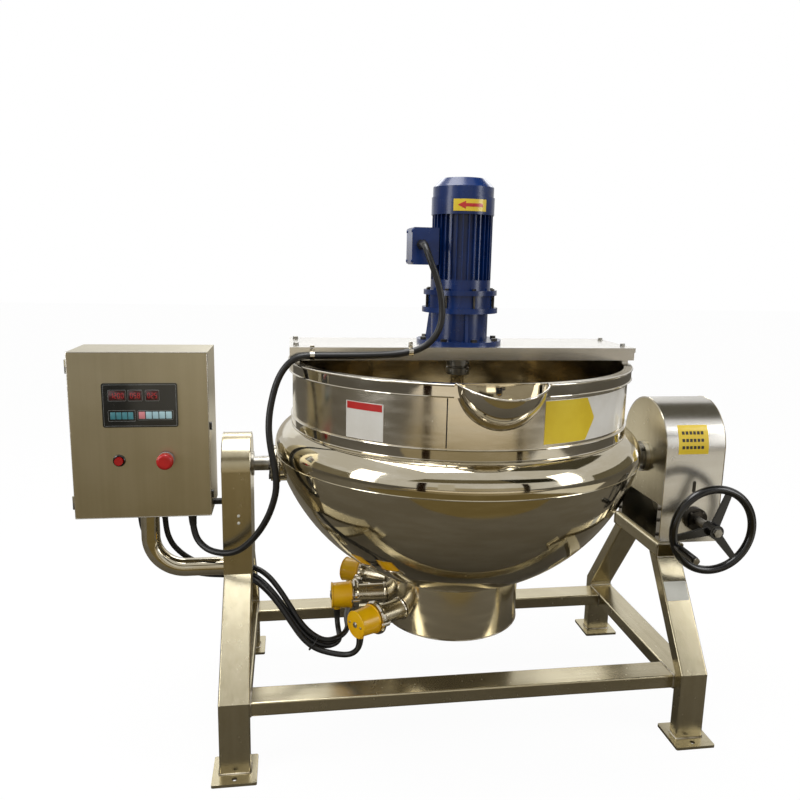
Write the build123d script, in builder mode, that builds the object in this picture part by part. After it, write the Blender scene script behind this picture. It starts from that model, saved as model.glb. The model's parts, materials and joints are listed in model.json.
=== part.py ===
from build123d import *
import os
from math import cos, degrees, pi, radians, sin, sqrt, tan

os.makedirs("parts", exist_ok=True)

# ---------------------------------------------------------------- driving dimensions (mm)
# The kettle's axis is the Z axis and the floor is Z = 0.
running_fit = 0.05      # radial clearance of every turning fit
trunnion_z = 756

# Kettle: pot, insulated wall and heating jacket
rim_z = 1066
pot_radius = 470
pot_wall = 4
pot_dish_z = 900        # centre of the pot's dished bottom
wall_space = 12         # from the pot's inside to the casing's outside
casing_radius = pot_radius + wall_space
casing_wall = 2
rim_band_radius = casing_radius + 9
rim_band_height = 32
lower_band_radius = casing_radius + 4
lower_band_height = 28
wall_bottom = 880
jacket_space = 78       # from the pot's dish to the jacket's sphere
jacket_radius = pot_radius + jacket_space
jacket_centre_z = 933
jacket_wall = 4
seam_z = 800
seam_radius = sqrt(jacket_radius ** 2 - (jacket_centre_z - seam_z) ** 2)
base_radius = 205
base_wall = 4
base_bottom = 272
spout_half_width = 107
spout_reach = 75
spout_wall = 3

# Trunnion flanges on the jacket, with the face a whole millimetre from the axis
pad_height = 2.4
flange_face = round(seam_radius + pad_height)
pad_radius = 52
trunnion_flange = 12
flange_bolt_radius = 40

# Frame of rectangular stainless tube
tube_width = 80
tube_height = 40
tube_wall = 3
tube_corner = 5
frame_gap = 54          # between a trunnion flange and the side frame
side_x = flange_face + trunnion_flange + frame_gap + tube_width / 2
foot_y = 325            # upright part of each leg, from the kettle's axis
knee_z = 198            # height at which a leg leans inwards
beam_z = 163            # middle of the floor beams
beam_y = 265            # middle of the front and rear beams
plate_size = 116
plate_thickness = 8
plate_reach = 40        # foot plate in front of its leg
anchor_radius = 7
anchor_inset = 20       # anchor hole in front of the leg's face

# Bearing head on the left
head_radius = 92
head_bottom = 455
head_sheet = 5
left_shaft_radius = 21
bush_wall = 8
sleeve_wall = 6

# Gear tower on the right
rail_z = 501            # middle of the rail that carries the tower
rail_half = 150
tower_inset = 33        # kettle side of the tower, from the side frame's middle
tower_x = side_x - tower_inset
tower_width = 188
tower_half = 140
tower_arch_z = 803
tower_sheet = 3
side_plate_thickness = 8
side_plate_bottom = 637
tower_base = 8
window_flange = 20
right_shaft_radius = 25
bearing_flange = 12

# Worm drive: module 6, one start, 40 teeth
gear_module = 6
wheel_teeth = 40
worm_pitch_radius = 40
wheel_width = 44
wheel_inset = 109       # middle plane of the worm wheel, from the tower's kettle side
wheel_x = tower_x + wheel_inset
wheel_boss_radius = 44
wheel_boss = 10
worm_shaft_radius = 12.5
worm_length = 96
worm_turns = 4
tooth_clearance = 1.5
flank_angle = 20

# Handwheel on the worm shaft
wheel_rim_radius = 122  # middle of the rim's section
wheel_rim_section = 12
wheel_plane_y = -240
wheel_hub_radius = 21
wheel_hub_length = 44
spoke_angles = (70, 190, 310)
grip_angle = 200
grip_radius = 11.5
grip_length = 104
grip_pin_radius = 5

# Bridge across the rim, which carries the stirrer's gearmotor
bridge_half_length = rim_band_radius - 1
bridge_half_width = 130
bridge_bottom = 1074
bridge_height = 36
bridge_sheet = 4
bridge_lip = 13
bridge_groove = 6

# Gearmotor, from the bridge upwards
reducer_foot_radius = 123
reducer_foot = 12
reducer_radius = 82
reducer_height = 78
gear_flange_radius = 109
gear_flange = 15
ring_gear_radius = 98
ring_gear_height = 35
adapter_radius = 105.5
adapter_flange = 14
adapter_neck = 29
motor_core = 76
motor_fin_radius = 86
fin_count = 32
fin_thickness = 3
motor_length = 179
cowl_radius = 89
cowl_skirt = 48
cowl_step = 3
cowl_height = 100
cowl_chamfer = 24
terminal_reach = 76     # terminal box out from the motor's core
terminal_lid = 5
terminal_half = 50
terminal_height = 102
terminal_lift = 40      # above the motor's lower end
motor_gland_reach = 49  # cable gland out from the motor's core
motor_gland_lift = 95

# Stirrer
stirrer_shaft_radius = 20
anchor_gap = 14         # anchor blade from the pot
anchor_thickness = 12
anchor_width = 40
scraper_gap = 1
scraper_length = 60
scraper_width = 20
shaft_gap = 22          # shaft's end above the pot's bottom

# Control box on its arm
box_gap = 25            # from the left head
box_width = 355
box_bottom = 645
box_height = 450
box_front = -125
box_depth = 180
box_sheet = 2
door_depth = 18
door_gap = 1
hinge_radius = 5
hinge_pin_radius = 2
hinge_knuckle = 18
hinge_inset = 40        # each hinge from the box's end
arm_radius = 25.5
arm_wall = 2.5
arm_inset = 175         # arm from the box's right side
arm_y = -60
arm_z = 470
arm_bend = 95

# Heaters in the base
heater_angles = (212, 180, 148)
heater_z = 335
port_radius = 30
port_length = 82
port_reach = base_radius + port_length
heater_flange_thickness = 20
cap_radius = 40
cap_length = 62
element_radius = 6
element_half_pitch = 12

# Cables
motor_cable_radius = 9
heater_cable_radius = 8


def write(piece, name):
    piece.part.label = name
    export_step(piece.part, "parts/" + name + ".step")


# ---------------------------------------------------------------- frame
inner_corner = tube_corner - tube_wall


def tube_section(across, up):
    RectangleRounded(across, up, tube_corner)
    RectangleRounded(across - 2 * tube_wall, up - 2 * tube_wall, inner_corner, mode=Mode.SUBTRACT)


def leg_pair(x, top_y, top_z):
    """Front and rear leg of one side: upright from the foot plate, then leaning in to top_z."""
    with BuildPart() as legs:
        for side in (-1, 1):
            lean = (top_y - foot_y) / (top_z - knee_z)
            past = tube_width
            with BuildLine():
                Polyline(
                    (x, side * foot_y, plate_thickness),
                    (x, side * foot_y, knee_z),
                    (x, side * (top_y + lean * past), top_z + past),
                )
            with BuildSketch(Plane.XY.offset(plate_thickness)):
                with Locations((x, side * foot_y)):
                    tube_section(tube_width, tube_height)
            sweep(transition=Transition.RIGHT)
        split(bisect_by=Plane.XY.offset(top_z), keep=Keep.BOTTOM)
    return legs


lean_width = 0.7 * tube_height
left_legs = leg_pair(-side_x, head_radius - lean_width, head_bottom)
write(left_legs, "left_legs")

rail_bottom = rail_z - tube_height / 2
rail_top = rail_z + tube_height / 2
right_legs = leg_pair(side_x, rail_half - lean_width, rail_bottom)
write(right_legs, "right_legs")

with BuildPart() as side_beams:
    beam_half = foot_y - tube_height / 2
    with BuildSketch(Plane.XZ.offset(-beam_half)):
        with Locations((-side_x, beam_z), (side_x, beam_z)):
            tube_section(tube_width, tube_height)
    extrude(amount=2 * beam_half)
write(side_beams, "side_beams")

with BuildPart() as cross_beams:
    cross_half = side_x - tube_width / 2
    with BuildSketch(Plane.YZ.offset(-cross_half)):
        with Locations((-beam_y, beam_z), (beam_y, beam_z)):
            tube_section(tube_width, tube_height)
    extrude(amount=2 * cross_half)
write(cross_beams, "cross_beams")

with BuildPart() as tower_rail:
    with BuildSketch(Plane.XZ.offset(-rail_half)):
        with Locations((side_x, rail_z)):
            tube_section(tube_width, tube_height)
    extrude(amount=2 * rail_half)
write(tower_rail, "tower_rail")

leg_face = foot_y + tube_height / 2
plate_y = leg_face + plate_reach - plate_size / 2
anchor_y = leg_face + anchor_inset
with BuildPart() as foot_plates:
    with BuildSketch():
        with GridLocations(2 * side_x, 2 * plate_y, 2, 2):
            RectangleRounded(plate_size, plate_size, tube_corner)
        with GridLocations(2 * side_x, 2 * anchor_y, 2, 2):
            Circle(anchor_radius, mode=Mode.SUBTRACT)
    extrude(amount=plate_thickness)
write(foot_plates, "foot_plates")


# ---------------------------------------------------------------- left bearing head
def arch(radius, centre_z, bottom_z):
    """Round-topped outline in the YZ plane."""
    with Locations((0, centre_z)):
        Circle(radius)
    with Locations((0, (centre_z + bottom_z) / 2)):
        Rectangle(2 * radius, centre_z - bottom_z)


trunnion_line = Plane(origin=(0, 0, trunnion_z), x_dir=(0, 1, 0), z_dir=(1, 0, 0))
bush_radius = left_shaft_radius + running_fit + bush_wall
sleeve_radius = bush_radius + sleeve_wall
head_left = -side_x - tube_width / 2
with BuildPart() as left_head:
    with BuildSketch(Plane.YZ.offset(head_left)):
        arch(head_radius, trunnion_z, head_bottom)
    extrude(amount=tube_width)
    with BuildSketch(Plane.YZ.offset(head_left + head_sheet)):
        arch(head_radius - head_sheet, trunnion_z, head_bottom)
    extrude(amount=tube_width - 2 * head_sheet, mode=Mode.SUBTRACT)
    with BuildSketch(trunnion_line.offset(head_left)):
        Circle(sleeve_radius)
    extrude(amount=tube_width)
    with BuildSketch(trunnion_line.offset(head_left + head_sheet)):
        Circle(bush_radius)
    extrude(amount=tube_width, mode=Mode.SUBTRACT)
write(left_head, "left_head")

bush_flange = 6
with BuildPart() as left_bush:
    with BuildSketch(trunnion_line.offset(head_left + head_sheet)):
        Circle(bush_radius)
        Circle(left_shaft_radius + running_fit, mode=Mode.SUBTRACT)
    extrude(amount=tube_width - head_sheet)
    with BuildSketch(trunnion_line.offset(head_left + tube_width)):
        Circle(sleeve_radius)
        Circle(left_shaft_radius + running_fit, mode=Mode.SUBTRACT)
    extrude(amount=bush_flange)

# ---------------------------------------------------------------- gear tower
tower_out = tower_x + tower_width
tower_inner = tower_half - tower_sheet
with BuildPart() as gear_cover:
    with BuildSketch(Plane.YZ.offset(tower_x)):
        arch(tower_half, tower_arch_z, rail_top)
        arch_inner = tower_inner
        with Locations((0, tower_arch_z)):
            Circle(arch_inner, mode=Mode.SUBTRACT)
        with Locations((0, (tower_arch_z + rail_top) / 2)):
            Rectangle(2 * arch_inner, tower_arch_z - rail_top, mode=Mode.SUBTRACT)
    extrude(amount=tower_width)
    with BuildSketch(Plane.YZ.offset(tower_out - tower_sheet)):
        arch(tower_inner, tower_arch_z, rail_top)
    extrude(amount=tower_sheet)
    with BuildSketch(Plane.YZ.offset(tower_x)):
        flange_height = side_plate_bottom - rail_top - tower_base
        with Locations((0, rail_top + tower_base + flange_height / 2)):
            Rectangle(2 * tower_inner, flange_height)
            Rectangle(2 * (tower_inner - window_flange), flange_height, mode=Mode.SUBTRACT)
    extrude(amount=tower_sheet)
    worm_z = trunnion_z - gear_module * wheel_teeth / 2 - worm_pitch_radius
    worm_line = Plane(origin=(wheel_x, 0, worm_z), x_dir=(1, 0, 0), z_dir=(0, 1, 0))
    with BuildSketch(worm_line.offset(-tower_half)):
        Circle(worm_shaft_radius + bush_wall)
    extrude(amount=2 * tower_half, mode=Mode.SUBTRACT)
write(gear_cover, "gear_cover")

with BuildPart() as tower_floor:
    with BuildSketch(Plane.XY.offset(rail_top)):
        with Locations((tower_x + (tower_width - tower_sheet) / 2, 0)):
            Rectangle(tower_width - tower_sheet, 2 * tower_inner)
    extrude(amount=tower_base)
write(tower_floor, "tower_floor")

with BuildPart() as tower_side_plate:
    with BuildSketch(Plane.YZ.offset(tower_x)):
        arch(tower_inner, tower_arch_z, side_plate_bottom)
        with Locations((0, trunnion_z)):
            Circle(right_shaft_radius + bush_wall, mode=Mode.SUBTRACT)
    extrude(amount=side_plate_thickness)
write(tower_side_plate, "tower_side_plate")


def shaft_bearing(plane, shaft_radius, spigot, flange_radius):
    """Flanged bearing: spigot through the wall behind plane, flange in front of it."""
    with BuildPart() as bearing:
        with BuildSketch(plane):
            Circle(flange_radius)
        extrude(amount=bearing_flange)
        with BuildSketch(plane.offset(bearing_flange)):
            Circle(shaft_radius + bush_wall + sleeve_wall)
        extrude(amount=bearing_flange / 2)
        if spigot:
            with BuildSketch(plane.offset(-spigot)):
                Circle(shaft_radius + bush_wall)
            extrude(amount=spigot)
        with BuildSketch(plane.offset(-spigot)):
            Circle(shaft_radius + running_fit)
        extrude(amount=spigot + 2 * bearing_flange, mode=Mode.SUBTRACT)
    return bearing


bearing_flange_radius = right_shaft_radius + 2 * bush_wall + sleeve_wall
inner_side = Plane(origin=(tower_x, 0, trunnion_z), x_dir=(0, 1, 0), z_dir=(-1, 0, 0))
right_bearing = shaft_bearing(inner_side, right_shaft_radius, side_plate_thickness, bearing_flange_radius)

outer_side = Plane(origin=(tower_out - tower_sheet, 0, trunnion_z), x_dir=(0, 1, 0), z_dir=(-1, 0, 0))
outer_bearing = shaft_bearing(outer_side, right_shaft_radius, 0, bearing_flange_radius)
with BuildPart() as trunnion_bearings:
    add([left_bush.part, right_bearing.part, outer_bearing.part])
write(trunnion_bearings, "trunnion_bearings")

worm_bearing_radius = worm_shaft_radius + 2 * bush_wall + sleeve_wall
front_wall = Plane(origin=(wheel_x, -tower_half, worm_z), x_dir=(1, 0, 0), z_dir=(0, -1, 0))
front_worm_bearing = shaft_bearing(front_wall, worm_shaft_radius, tower_sheet, worm_bearing_radius)

rear_wall = Plane(origin=(wheel_x, tower_half, worm_z), x_dir=(1, 0, 0), z_dir=(0, 1, 0))
rear_worm_bearing = shaft_bearing(rear_wall, worm_shaft_radius, tower_sheet, worm_bearing_radius)
with BuildPart() as worm_bearings:
    add([front_worm_bearing.part, rear_worm_bearing.part])
write(worm_bearings, "worm_bearings")

# ---------------------------------------------------------------- worm drive
addendum = gear_module
dedendum = 1.2 * gear_module
wheel_pitch_radius = gear_module * wheel_teeth / 2
wheel_tip = wheel_pitch_radius + addendum
wheel_root = wheel_pitch_radius - dedendum
worm_tip = worm_pitch_radius + addendum
worm_root_radius = worm_pitch_radius - dedendum
worm_lead = pi * gear_module
tooth_thickness = worm_lead / 2 - tooth_clearance
flank_run = tan(radians(flank_angle))
tooth_bite = 2          # how far a tooth's foot is sunk in its blank
wheel_axis = Axis((0, 0, trunnion_z), (1, 0, 0))

# The wheel's teeth are skewed to follow the worm's thread
lead_slope = worm_lead / (2 * pi * worm_pitch_radius)
tooth_skew = degrees(wheel_width / 2 * lead_slope / wheel_pitch_radius)
first_tooth = -90 + 180 / wheel_teeth


def tooth_section(plane, root, tip):
    """Straight-flanked tooth along the plane's X axis, from below the root to the tip."""
    foot_half = tooth_thickness / 2 + (dedendum + tooth_bite) * flank_run
    tip_half = tooth_thickness / 2 - addendum * flank_run
    foot = root - tooth_bite
    with BuildSketch(plane) as section:
        with BuildLine():
            Polyline((foot, -foot_half), (tip, -tip_half), (tip, tip_half), (foot, foot_half), close=True)
        make_face()
    return section.sketch


def tooth_plane(side):
    """Plane of the wheel's face on one side, its X axis along the first tooth."""
    turn = radians(first_tooth + side * tooth_skew)
    face_x = wheel_x + side * wheel_width / 2
    return Plane(origin=(face_x, 0, trunnion_z), x_dir=(0, cos(turn), sin(turn)), z_dir=(1, 0, 0))


with BuildPart() as wheel_tooth:
    add([tooth_section(tooth_plane(side), wheel_root, wheel_tip) for side in (-1, 1)])
    loft(ruled=True)

with BuildPart() as worm_wheel:
    with BuildSketch(trunnion_line.offset(wheel_x - wheel_width / 2)):
        Circle(wheel_root)
    extrude(amount=wheel_width)
    add([wheel_tooth.part.rotate(wheel_axis, 360 * tooth / wheel_teeth) for tooth in range(wheel_teeth)])
    with BuildSketch(trunnion_line.offset(wheel_x - wheel_width / 2 - wheel_boss)):
        Circle(wheel_boss_radius)
    extrude(amount=wheel_width + 2 * wheel_boss)
    with BuildSketch(trunnion_line.offset(wheel_x - wheel_width)):
        Circle(right_shaft_radius)
    extrude(amount=2 * wheel_width, mode=Mode.SUBTRACT)
write(worm_wheel, "worm_wheel")

# Right-hand thread, with a crest facing the wheel's middle gap
thread_length = worm_turns * worm_lead
thread_start = (wheel_x, -thread_length / 2, worm_z)
with BuildPart() as worm_thread:
    with BuildLine():
        Helix(worm_lead, thread_length, worm_pitch_radius, center=thread_start, direction=(0, 1, 0))
    thread_plane = Plane(origin=thread_start, x_dir=(0, 0, 1), z_dir=(1, 0, 0))
    add(tooth_section(thread_plane, worm_root_radius, worm_tip))
    sweep(is_frenet=True)

worm_front = wheel_plane_y - wheel_hub_length / 2
worm_rear = tower_half + bearing_flange
with BuildPart() as worm_shaft:
    with BuildSketch(worm_line.offset(worm_front)):
        Circle(worm_shaft_radius)
    extrude(amount=worm_rear - worm_front)
    with BuildSketch(worm_line.offset(-worm_length / 2)):
        Circle(worm_root_radius)
    extrude(amount=worm_length)
    add(worm_thread.part)
write(worm_shaft, "worm_shaft")

wheel_centre = (wheel_x, wheel_plane_y, worm_z)
wheel_plane = Plane(origin=wheel_centre, x_dir=(1, 0, 0), z_dir=(0, -1, 0))


def wheel_plane_at(angle, forward=0):
    """The handwheel's plane, its X axis turned to an angle from +X, moved towards the operator."""
    along = (cos(radians(angle)), 0, sin(radians(angle)))
    return Plane(origin=wheel_centre, x_dir=along, z_dir=(0, -1, 0)).offset(forward)


spoke_root = 27
spoke_tip = 16
spoke_depth = 9
with BuildPart() as handwheel:
    with BuildSketch(Plane(origin=wheel_centre, x_dir=(1, 0, 0), z_dir=(0, 0, 1))):
        with Locations((wheel_rim_radius, 0)):
            Circle(wheel_rim_section)
    revolve(axis=Axis(wheel_centre, (0, 1, 0)))
    with BuildSketch(wheel_plane.offset(-wheel_hub_length / 2)):
        Circle(wheel_hub_radius)
    extrude(amount=wheel_hub_length)
    for angle in spoke_angles:
        with BuildSketch(wheel_plane_at(angle, -spoke_depth / 2)):
            with BuildLine():
                Polyline(
                    (0, -spoke_root / 2), (wheel_rim_radius, -spoke_tip / 2),
                    (wheel_rim_radius, spoke_tip / 2), (0, spoke_root / 2), close=True,
                )
            make_face()
        extrude(amount=spoke_depth)
    with BuildSketch(wheel_plane.offset(-wheel_hub_length / 2)):
        Circle(worm_shaft_radius)
    extrude(amount=wheel_hub_length, mode=Mode.SUBTRACT)
    with BuildSketch(wheel_plane_at(grip_angle)):
        with Locations((wheel_rim_radius, 0)):
            Circle(grip_pin_radius)
    extrude(amount=2 * wheel_rim_section, mode=Mode.SUBTRACT)
write(handwheel, "handwheel")

hub_cap = 8
grip_play = 0.5
grip_screw = 4
with BuildPart() as hub_nut:
    with BuildSketch(wheel_plane.offset(wheel_hub_length / 2)):
        RegularPolygon(wheel_hub_radius * 0.7, 6)
    extrude(amount=hub_cap, taper=12)
write(hub_nut, "hub_nut")

grip_start = wheel_rim_section + grip_play
pin_end = grip_start + grip_length + grip_play
with BuildPart() as grip_pin:
    with BuildSketch(wheel_plane_at(grip_angle)):
        with Locations((wheel_rim_radius, 0)):
            Circle(grip_pin_radius)
    extrude(amount=pin_end)
    with BuildSketch(wheel_plane_at(grip_angle, pin_end)):
        with Locations((wheel_rim_radius, 0)):
            Circle(0.75 * grip_radius)
    extrude(amount=grip_screw)
write(grip_pin, "grip_pin")

grip_centre = wheel_plane_at(grip_angle).from_local_coords((wheel_rim_radius, 0, 0))
with BuildPart() as handwheel_grip:
    grip_axis = Plane(origin=grip_centre, x_dir=(1, 0, 0), z_dir=(0, 0, 1))
    bore = grip_pin_radius + running_fit
    with BuildSketch(grip_axis):
        with BuildLine():
            Polyline(
                (bore, -grip_start),
                (0.8 * grip_radius, -grip_start),
                (grip_radius, -grip_start - 0.25 * grip_length),
                (0.92 * grip_radius, -grip_start - 0.94 * grip_length),
                (0.8 * grip_radius, -grip_start - grip_length),
                (bore, -grip_start - grip_length),
                close=True,
            )
        make_face()
    revolve(axis=Axis(grip_centre, (0, 1, 0)))
write(handwheel_grip, "handwheel_grip")

# Bent rod at the tower's outer side, which holds the wheel's chain when the kettle is locked
hook_radius = 4
hook_y = -60
hook_z = 600
hook_out = 38
hook_drop = 30
hook_bend = 8
with BuildPart() as chain_hook:
    with BuildLine():
        FilletPolyline(
            (tower_out, hook_y, hook_z), (tower_out + hook_out, hook_y, hook_z),
            (tower_out + hook_out, hook_y, hook_z - hook_drop), radius=hook_bend,
        )
    with BuildSketch(Plane.YZ.offset(tower_out)):
        with Locations((hook_y, hook_z)):
            Circle(hook_radius)
    sweep()
write(chain_hook, "chain_hook")

# ---------------------------------------------------------------- kettle shell
def jacket_outline(offset, mouth):
    """Half section: dish on a sphere from the mouth's radius up to the seam, then the shoulder."""
    radius = jacket_radius - offset
    low = jacket_centre_z - sqrt(radius ** 2 - mouth ** 2)
    high = jacket_centre_z - sqrt(radius ** 2 - (seam_radius - offset) ** 2)
    middle_r = (mouth + seam_radius - offset) / 2
    middle = jacket_centre_z - sqrt(radius ** 2 - middle_r ** 2)
    dish = ThreePointArc((mouth, low), (middle_r, middle), (seam_radius - offset, high))
    shoulder = TangentArc(dish @ 1, (lower_band_radius - offset, wall_bottom), tangent=dish % 1)
    return dish, shoulder


mouth_radius = base_radius - base_wall
with BuildPart() as jacket:
    with BuildSketch(Plane.XZ):
        with BuildLine():
            outer_dish, outer_shoulder = jacket_outline(0, mouth_radius)
            inner_dish, inner_shoulder = jacket_outline(jacket_wall, mouth_radius)
            Line(outer_dish @ 0, inner_dish @ 0)
            Line(outer_shoulder @ 1, inner_shoulder @ 1)
        make_face()
    revolve()
    with BuildSketch(Plane.XY.offset(wall_bottom - jacket_wall)):
        Circle(lower_band_radius - jacket_wall / 2)
        Circle(pot_radius + pot_wall, mode=Mode.SUBTRACT)
    extrude(amount=jacket_wall)
write(jacket, "jacket")

with BuildPart() as jacket_form:
    with BuildSketch(Plane.XZ):
        with BuildLine():
            form_dish, form_shoulder = jacket_outline(0, mouth_radius)
            Polyline(form_shoulder @ 1, (0, wall_bottom), (0, (form_dish @ 0).Z), form_dish @ 0)
        make_face()
    revolve()

# Inside of the pouring spout, cut from every layer of the wall
rim_plane = Plane.XY.offset(rim_z)


def spout_form(grow):
    with BuildPart() as form:
        with BuildSketch(rim_plane):
            reach = casing_radius - pot_radius + spout_reach + grow
            with BuildLine():
                Line((0, -pot_radius), (spout_half_width + grow, -pot_radius))
                EllipticalCenterArc(
                    (0, -pot_radius), spout_half_width + grow, reach, start_angle=270, arc_size=90
                )
                Line((0, -pot_radius - reach), (0, -pot_radius))
            make_face()
        revolve(axis=Axis((0, -pot_radius, rim_z), (0, 1, 0)))
    return form


spout_inside = spout_form(0)
spout_outside = spout_form(spout_wall)

pot_outer = pot_radius + pot_wall
with BuildPart() as inner_pot:
    with BuildSketch(Plane.XZ):
        with BuildLine():
            Polyline(
                (pot_radius, pot_dish_z), (pot_radius, rim_z), (rim_band_radius, rim_z),
                (rim_band_radius, rim_z - pot_wall), (pot_outer, rim_z - pot_wall), (pot_outer, pot_dish_z),
            )
            CenterArc((0, pot_dish_z), pot_radius, -90, 90)
            CenterArc((0, pot_dish_z), pot_outer, -90, 90)
            Line((0, pot_dish_z - pot_radius), (0, pot_dish_z - pot_outer))
        make_face()
    revolve()
    add(spout_inside.part, mode=Mode.SUBTRACT)
write(inner_pot, "inner_pot")


def wall_ring(inside, outside, low, high):
    with BuildPart() as ring:
        with BuildSketch(Plane.XY.offset(low)):
            Circle(outside)
            Circle(inside, mode=Mode.SUBTRACT)
        extrude(amount=high - low)
        add(spout_inside.part, mode=Mode.SUBTRACT)
    return ring


rim_under = rim_z - pot_wall
wall_casing = wall_ring(casing_radius - casing_wall, casing_radius, wall_bottom, rim_under)
write(wall_casing, "wall_casing")

rim_band = wall_ring(casing_radius, rim_band_radius, rim_z - rim_band_height, rim_under)

lower_band = wall_ring(casing_radius, lower_band_radius, wall_bottom, wall_bottom + lower_band_height)
with BuildPart() as wall_bands:
    add([rim_band.part, lower_band.part])
write(wall_bands, "wall_bands")

with BuildPart() as wall_form:
    with BuildSketch(Plane.XY.offset(wall_bottom)):
        Circle(casing_radius)
    extrude(amount=rim_z - wall_bottom)
    with BuildSketch(Plane.XY.offset(rim_z - rim_band_height)):
        Circle(rim_band_radius)
    extrude(amount=rim_band_height)

with BuildPart() as spout:
    add(spout_outside.part)
    add(spout_inside.part, mode=Mode.SUBTRACT)
    split(bisect_by=rim_plane, keep=Keep.BOTTOM)
    add(wall_form.part, mode=Mode.SUBTRACT)
write(spout, "spout")


def radial_plane(angle, out=0):
    """Plane square to a heater's axis, looking outwards, its X axis level."""
    across = (-sin(radians(angle)), cos(radians(angle)), 0)
    outward = (cos(radians(angle)), sin(radians(angle)), 0)
    return Plane(origin=(0, 0, heater_z), x_dir=across, z_dir=outward).offset(out)


with BuildPart() as base_drum:
    with BuildSketch(Plane.XY.offset(base_bottom + base_wall)):
        Circle(base_radius)
        Circle(base_radius - base_wall, mode=Mode.SUBTRACT)
    extrude(amount=jacket_centre_z - jacket_radius + tube_width - base_bottom)
    add(jacket_form.part, mode=Mode.SUBTRACT)
    for angle in heater_angles:
        with BuildSketch(radial_plane(angle, base_radius / 2)):
            Circle(port_radius)
        extrude(amount=base_radius, mode=Mode.SUBTRACT)
    with BuildSketch(Plane.XY.offset(base_bottom)):
        Circle(base_radius)
    extrude(amount=base_wall)
write(base_drum, "base_drum")

# ---------------------------------------------------------------- trunnions
with BuildPart() as trunnion_pads:
    for side in (-1, 1):
        with BuildSketch(trunnion_line.offset(side * flange_face)):
            Circle(pad_radius)
        extrude(amount=-side * pad_radius)
    add(jacket_form.part, mode=Mode.SUBTRACT)
write(trunnion_pads, "trunnion_pads")


def trunnion(side, shaft_radius, end):
    with BuildPart() as stub:
        with BuildSketch(trunnion_line.offset(side * flange_face)):
            Circle(pad_radius)
        extrude(amount=side * trunnion_flange)
        with BuildSketch(trunnion_line.offset(side * (flange_face + trunnion_flange))):
            Circle(shaft_radius)
        extrude(amount=side * (end - flange_face - trunnion_flange))
    return stub


left_shaft_end = side_x + tube_width / 2 - head_sheet - 1
left_trunnion = trunnion(-1, left_shaft_radius, left_shaft_end)
write(left_trunnion, "left_trunnion")
right_trunnion = trunnion(1, right_shaft_radius, tower_out - tower_sheet - 1)
write(right_trunnion, "right_trunnion")

bolt_head = 8
bolt_head_height = 6
with BuildPart() as trunnion_bolts:
    for side in (-1, 1):
        with BuildSketch(trunnion_line.offset(side * (flange_face + trunnion_flange))):
            with PolarLocations(flange_bolt_radius, 6):
                RegularPolygon(bolt_head, 6)
        extrude(amount=side * bolt_head_height)
write(trunnion_bolts, "trunnion_bolts")

# ---------------------------------------------------------------- heaters
cap_start = port_reach + heater_flange_thickness
heater_planes = [radial_plane(angle) for angle in heater_angles]
with BuildPart() as heater_ports:
    for plane in heater_planes:
        with BuildSketch(plane.offset(base_radius - 2 * base_wall)):
            Circle(port_radius)
            Circle(port_radius - 2 * tube_wall, mode=Mode.SUBTRACT)
        extrude(amount=port_reach - base_radius + 2 * base_wall)
write(heater_ports, "heater_ports")

ear_reach = 46
ear_radius = 9
clamp_radius = port_radius + 8
clamp_bolt = 5
clamp_bolt_head = 5
with BuildPart() as heater_flanges:
    for plane in heater_planes:
        with BuildSketch(plane.offset(port_reach)):
            Circle(clamp_radius)
            with Locations((ear_reach, 0), (-ear_reach, 0)):
                Circle(ear_radius)
            Rectangle(2 * ear_reach, 1.5 * ear_radius)
        extrude(amount=heater_flange_thickness)
        with BuildSketch(plane.offset(port_reach - clamp_bolt_head)):
            with Locations((ear_reach, 0), (-ear_reach, 0)):
                RegularPolygon(clamp_bolt, 6)
        extrude(amount=heater_flange_thickness + 2 * clamp_bolt_head)
write(heater_flanges, "heater_flanges")

neck_radius = 11
neck_inset = 45
neck_drop = 3
cap_taper = 3
neck_out = cap_start + neck_inset
neck_bottom = heater_z - cap_radius - neck_drop
with BuildPart() as heater_caps:
    for plane in heater_planes:
        with BuildSketch(plane.offset(cap_start)):
            Circle(cap_radius)
        extrude(amount=cap_length, taper=cap_taper)
    for angle in heater_angles:
        with BuildSketch(Plane.XY.offset(neck_bottom)):
            with Locations((neck_out * cos(radians(angle)), neck_out * sin(radians(angle)))):
                Circle(neck_radius)
        extrude(amount=heater_z - neck_bottom)
write(heater_caps, "heater_caps")

element_inner = 70
with BuildPart() as heater_elements:
    for plane in heater_planes:
        bend_out = element_inner + element_half_pitch
        ends = [plane.from_local_coords((side * element_half_pitch, 0, port_reach)) for side in (-1, 1)]
        bends = [plane.from_local_coords((side * element_half_pitch, 0, bend_out)) for side in (-1, 1)]
        with BuildLine():
            Line(ends[0], bends[0])
            ThreePointArc(bends[0], plane.from_local_coords((0, 0, element_inner)), bends[1])
            Line(bends[1], ends[1])
        with BuildSketch(Plane(origin=ends[0], x_dir=(0, 0, 1), z_dir=-plane.z_dir)):
            Circle(element_radius)
        sweep()
write(heater_elements, "heater_elements")

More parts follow.
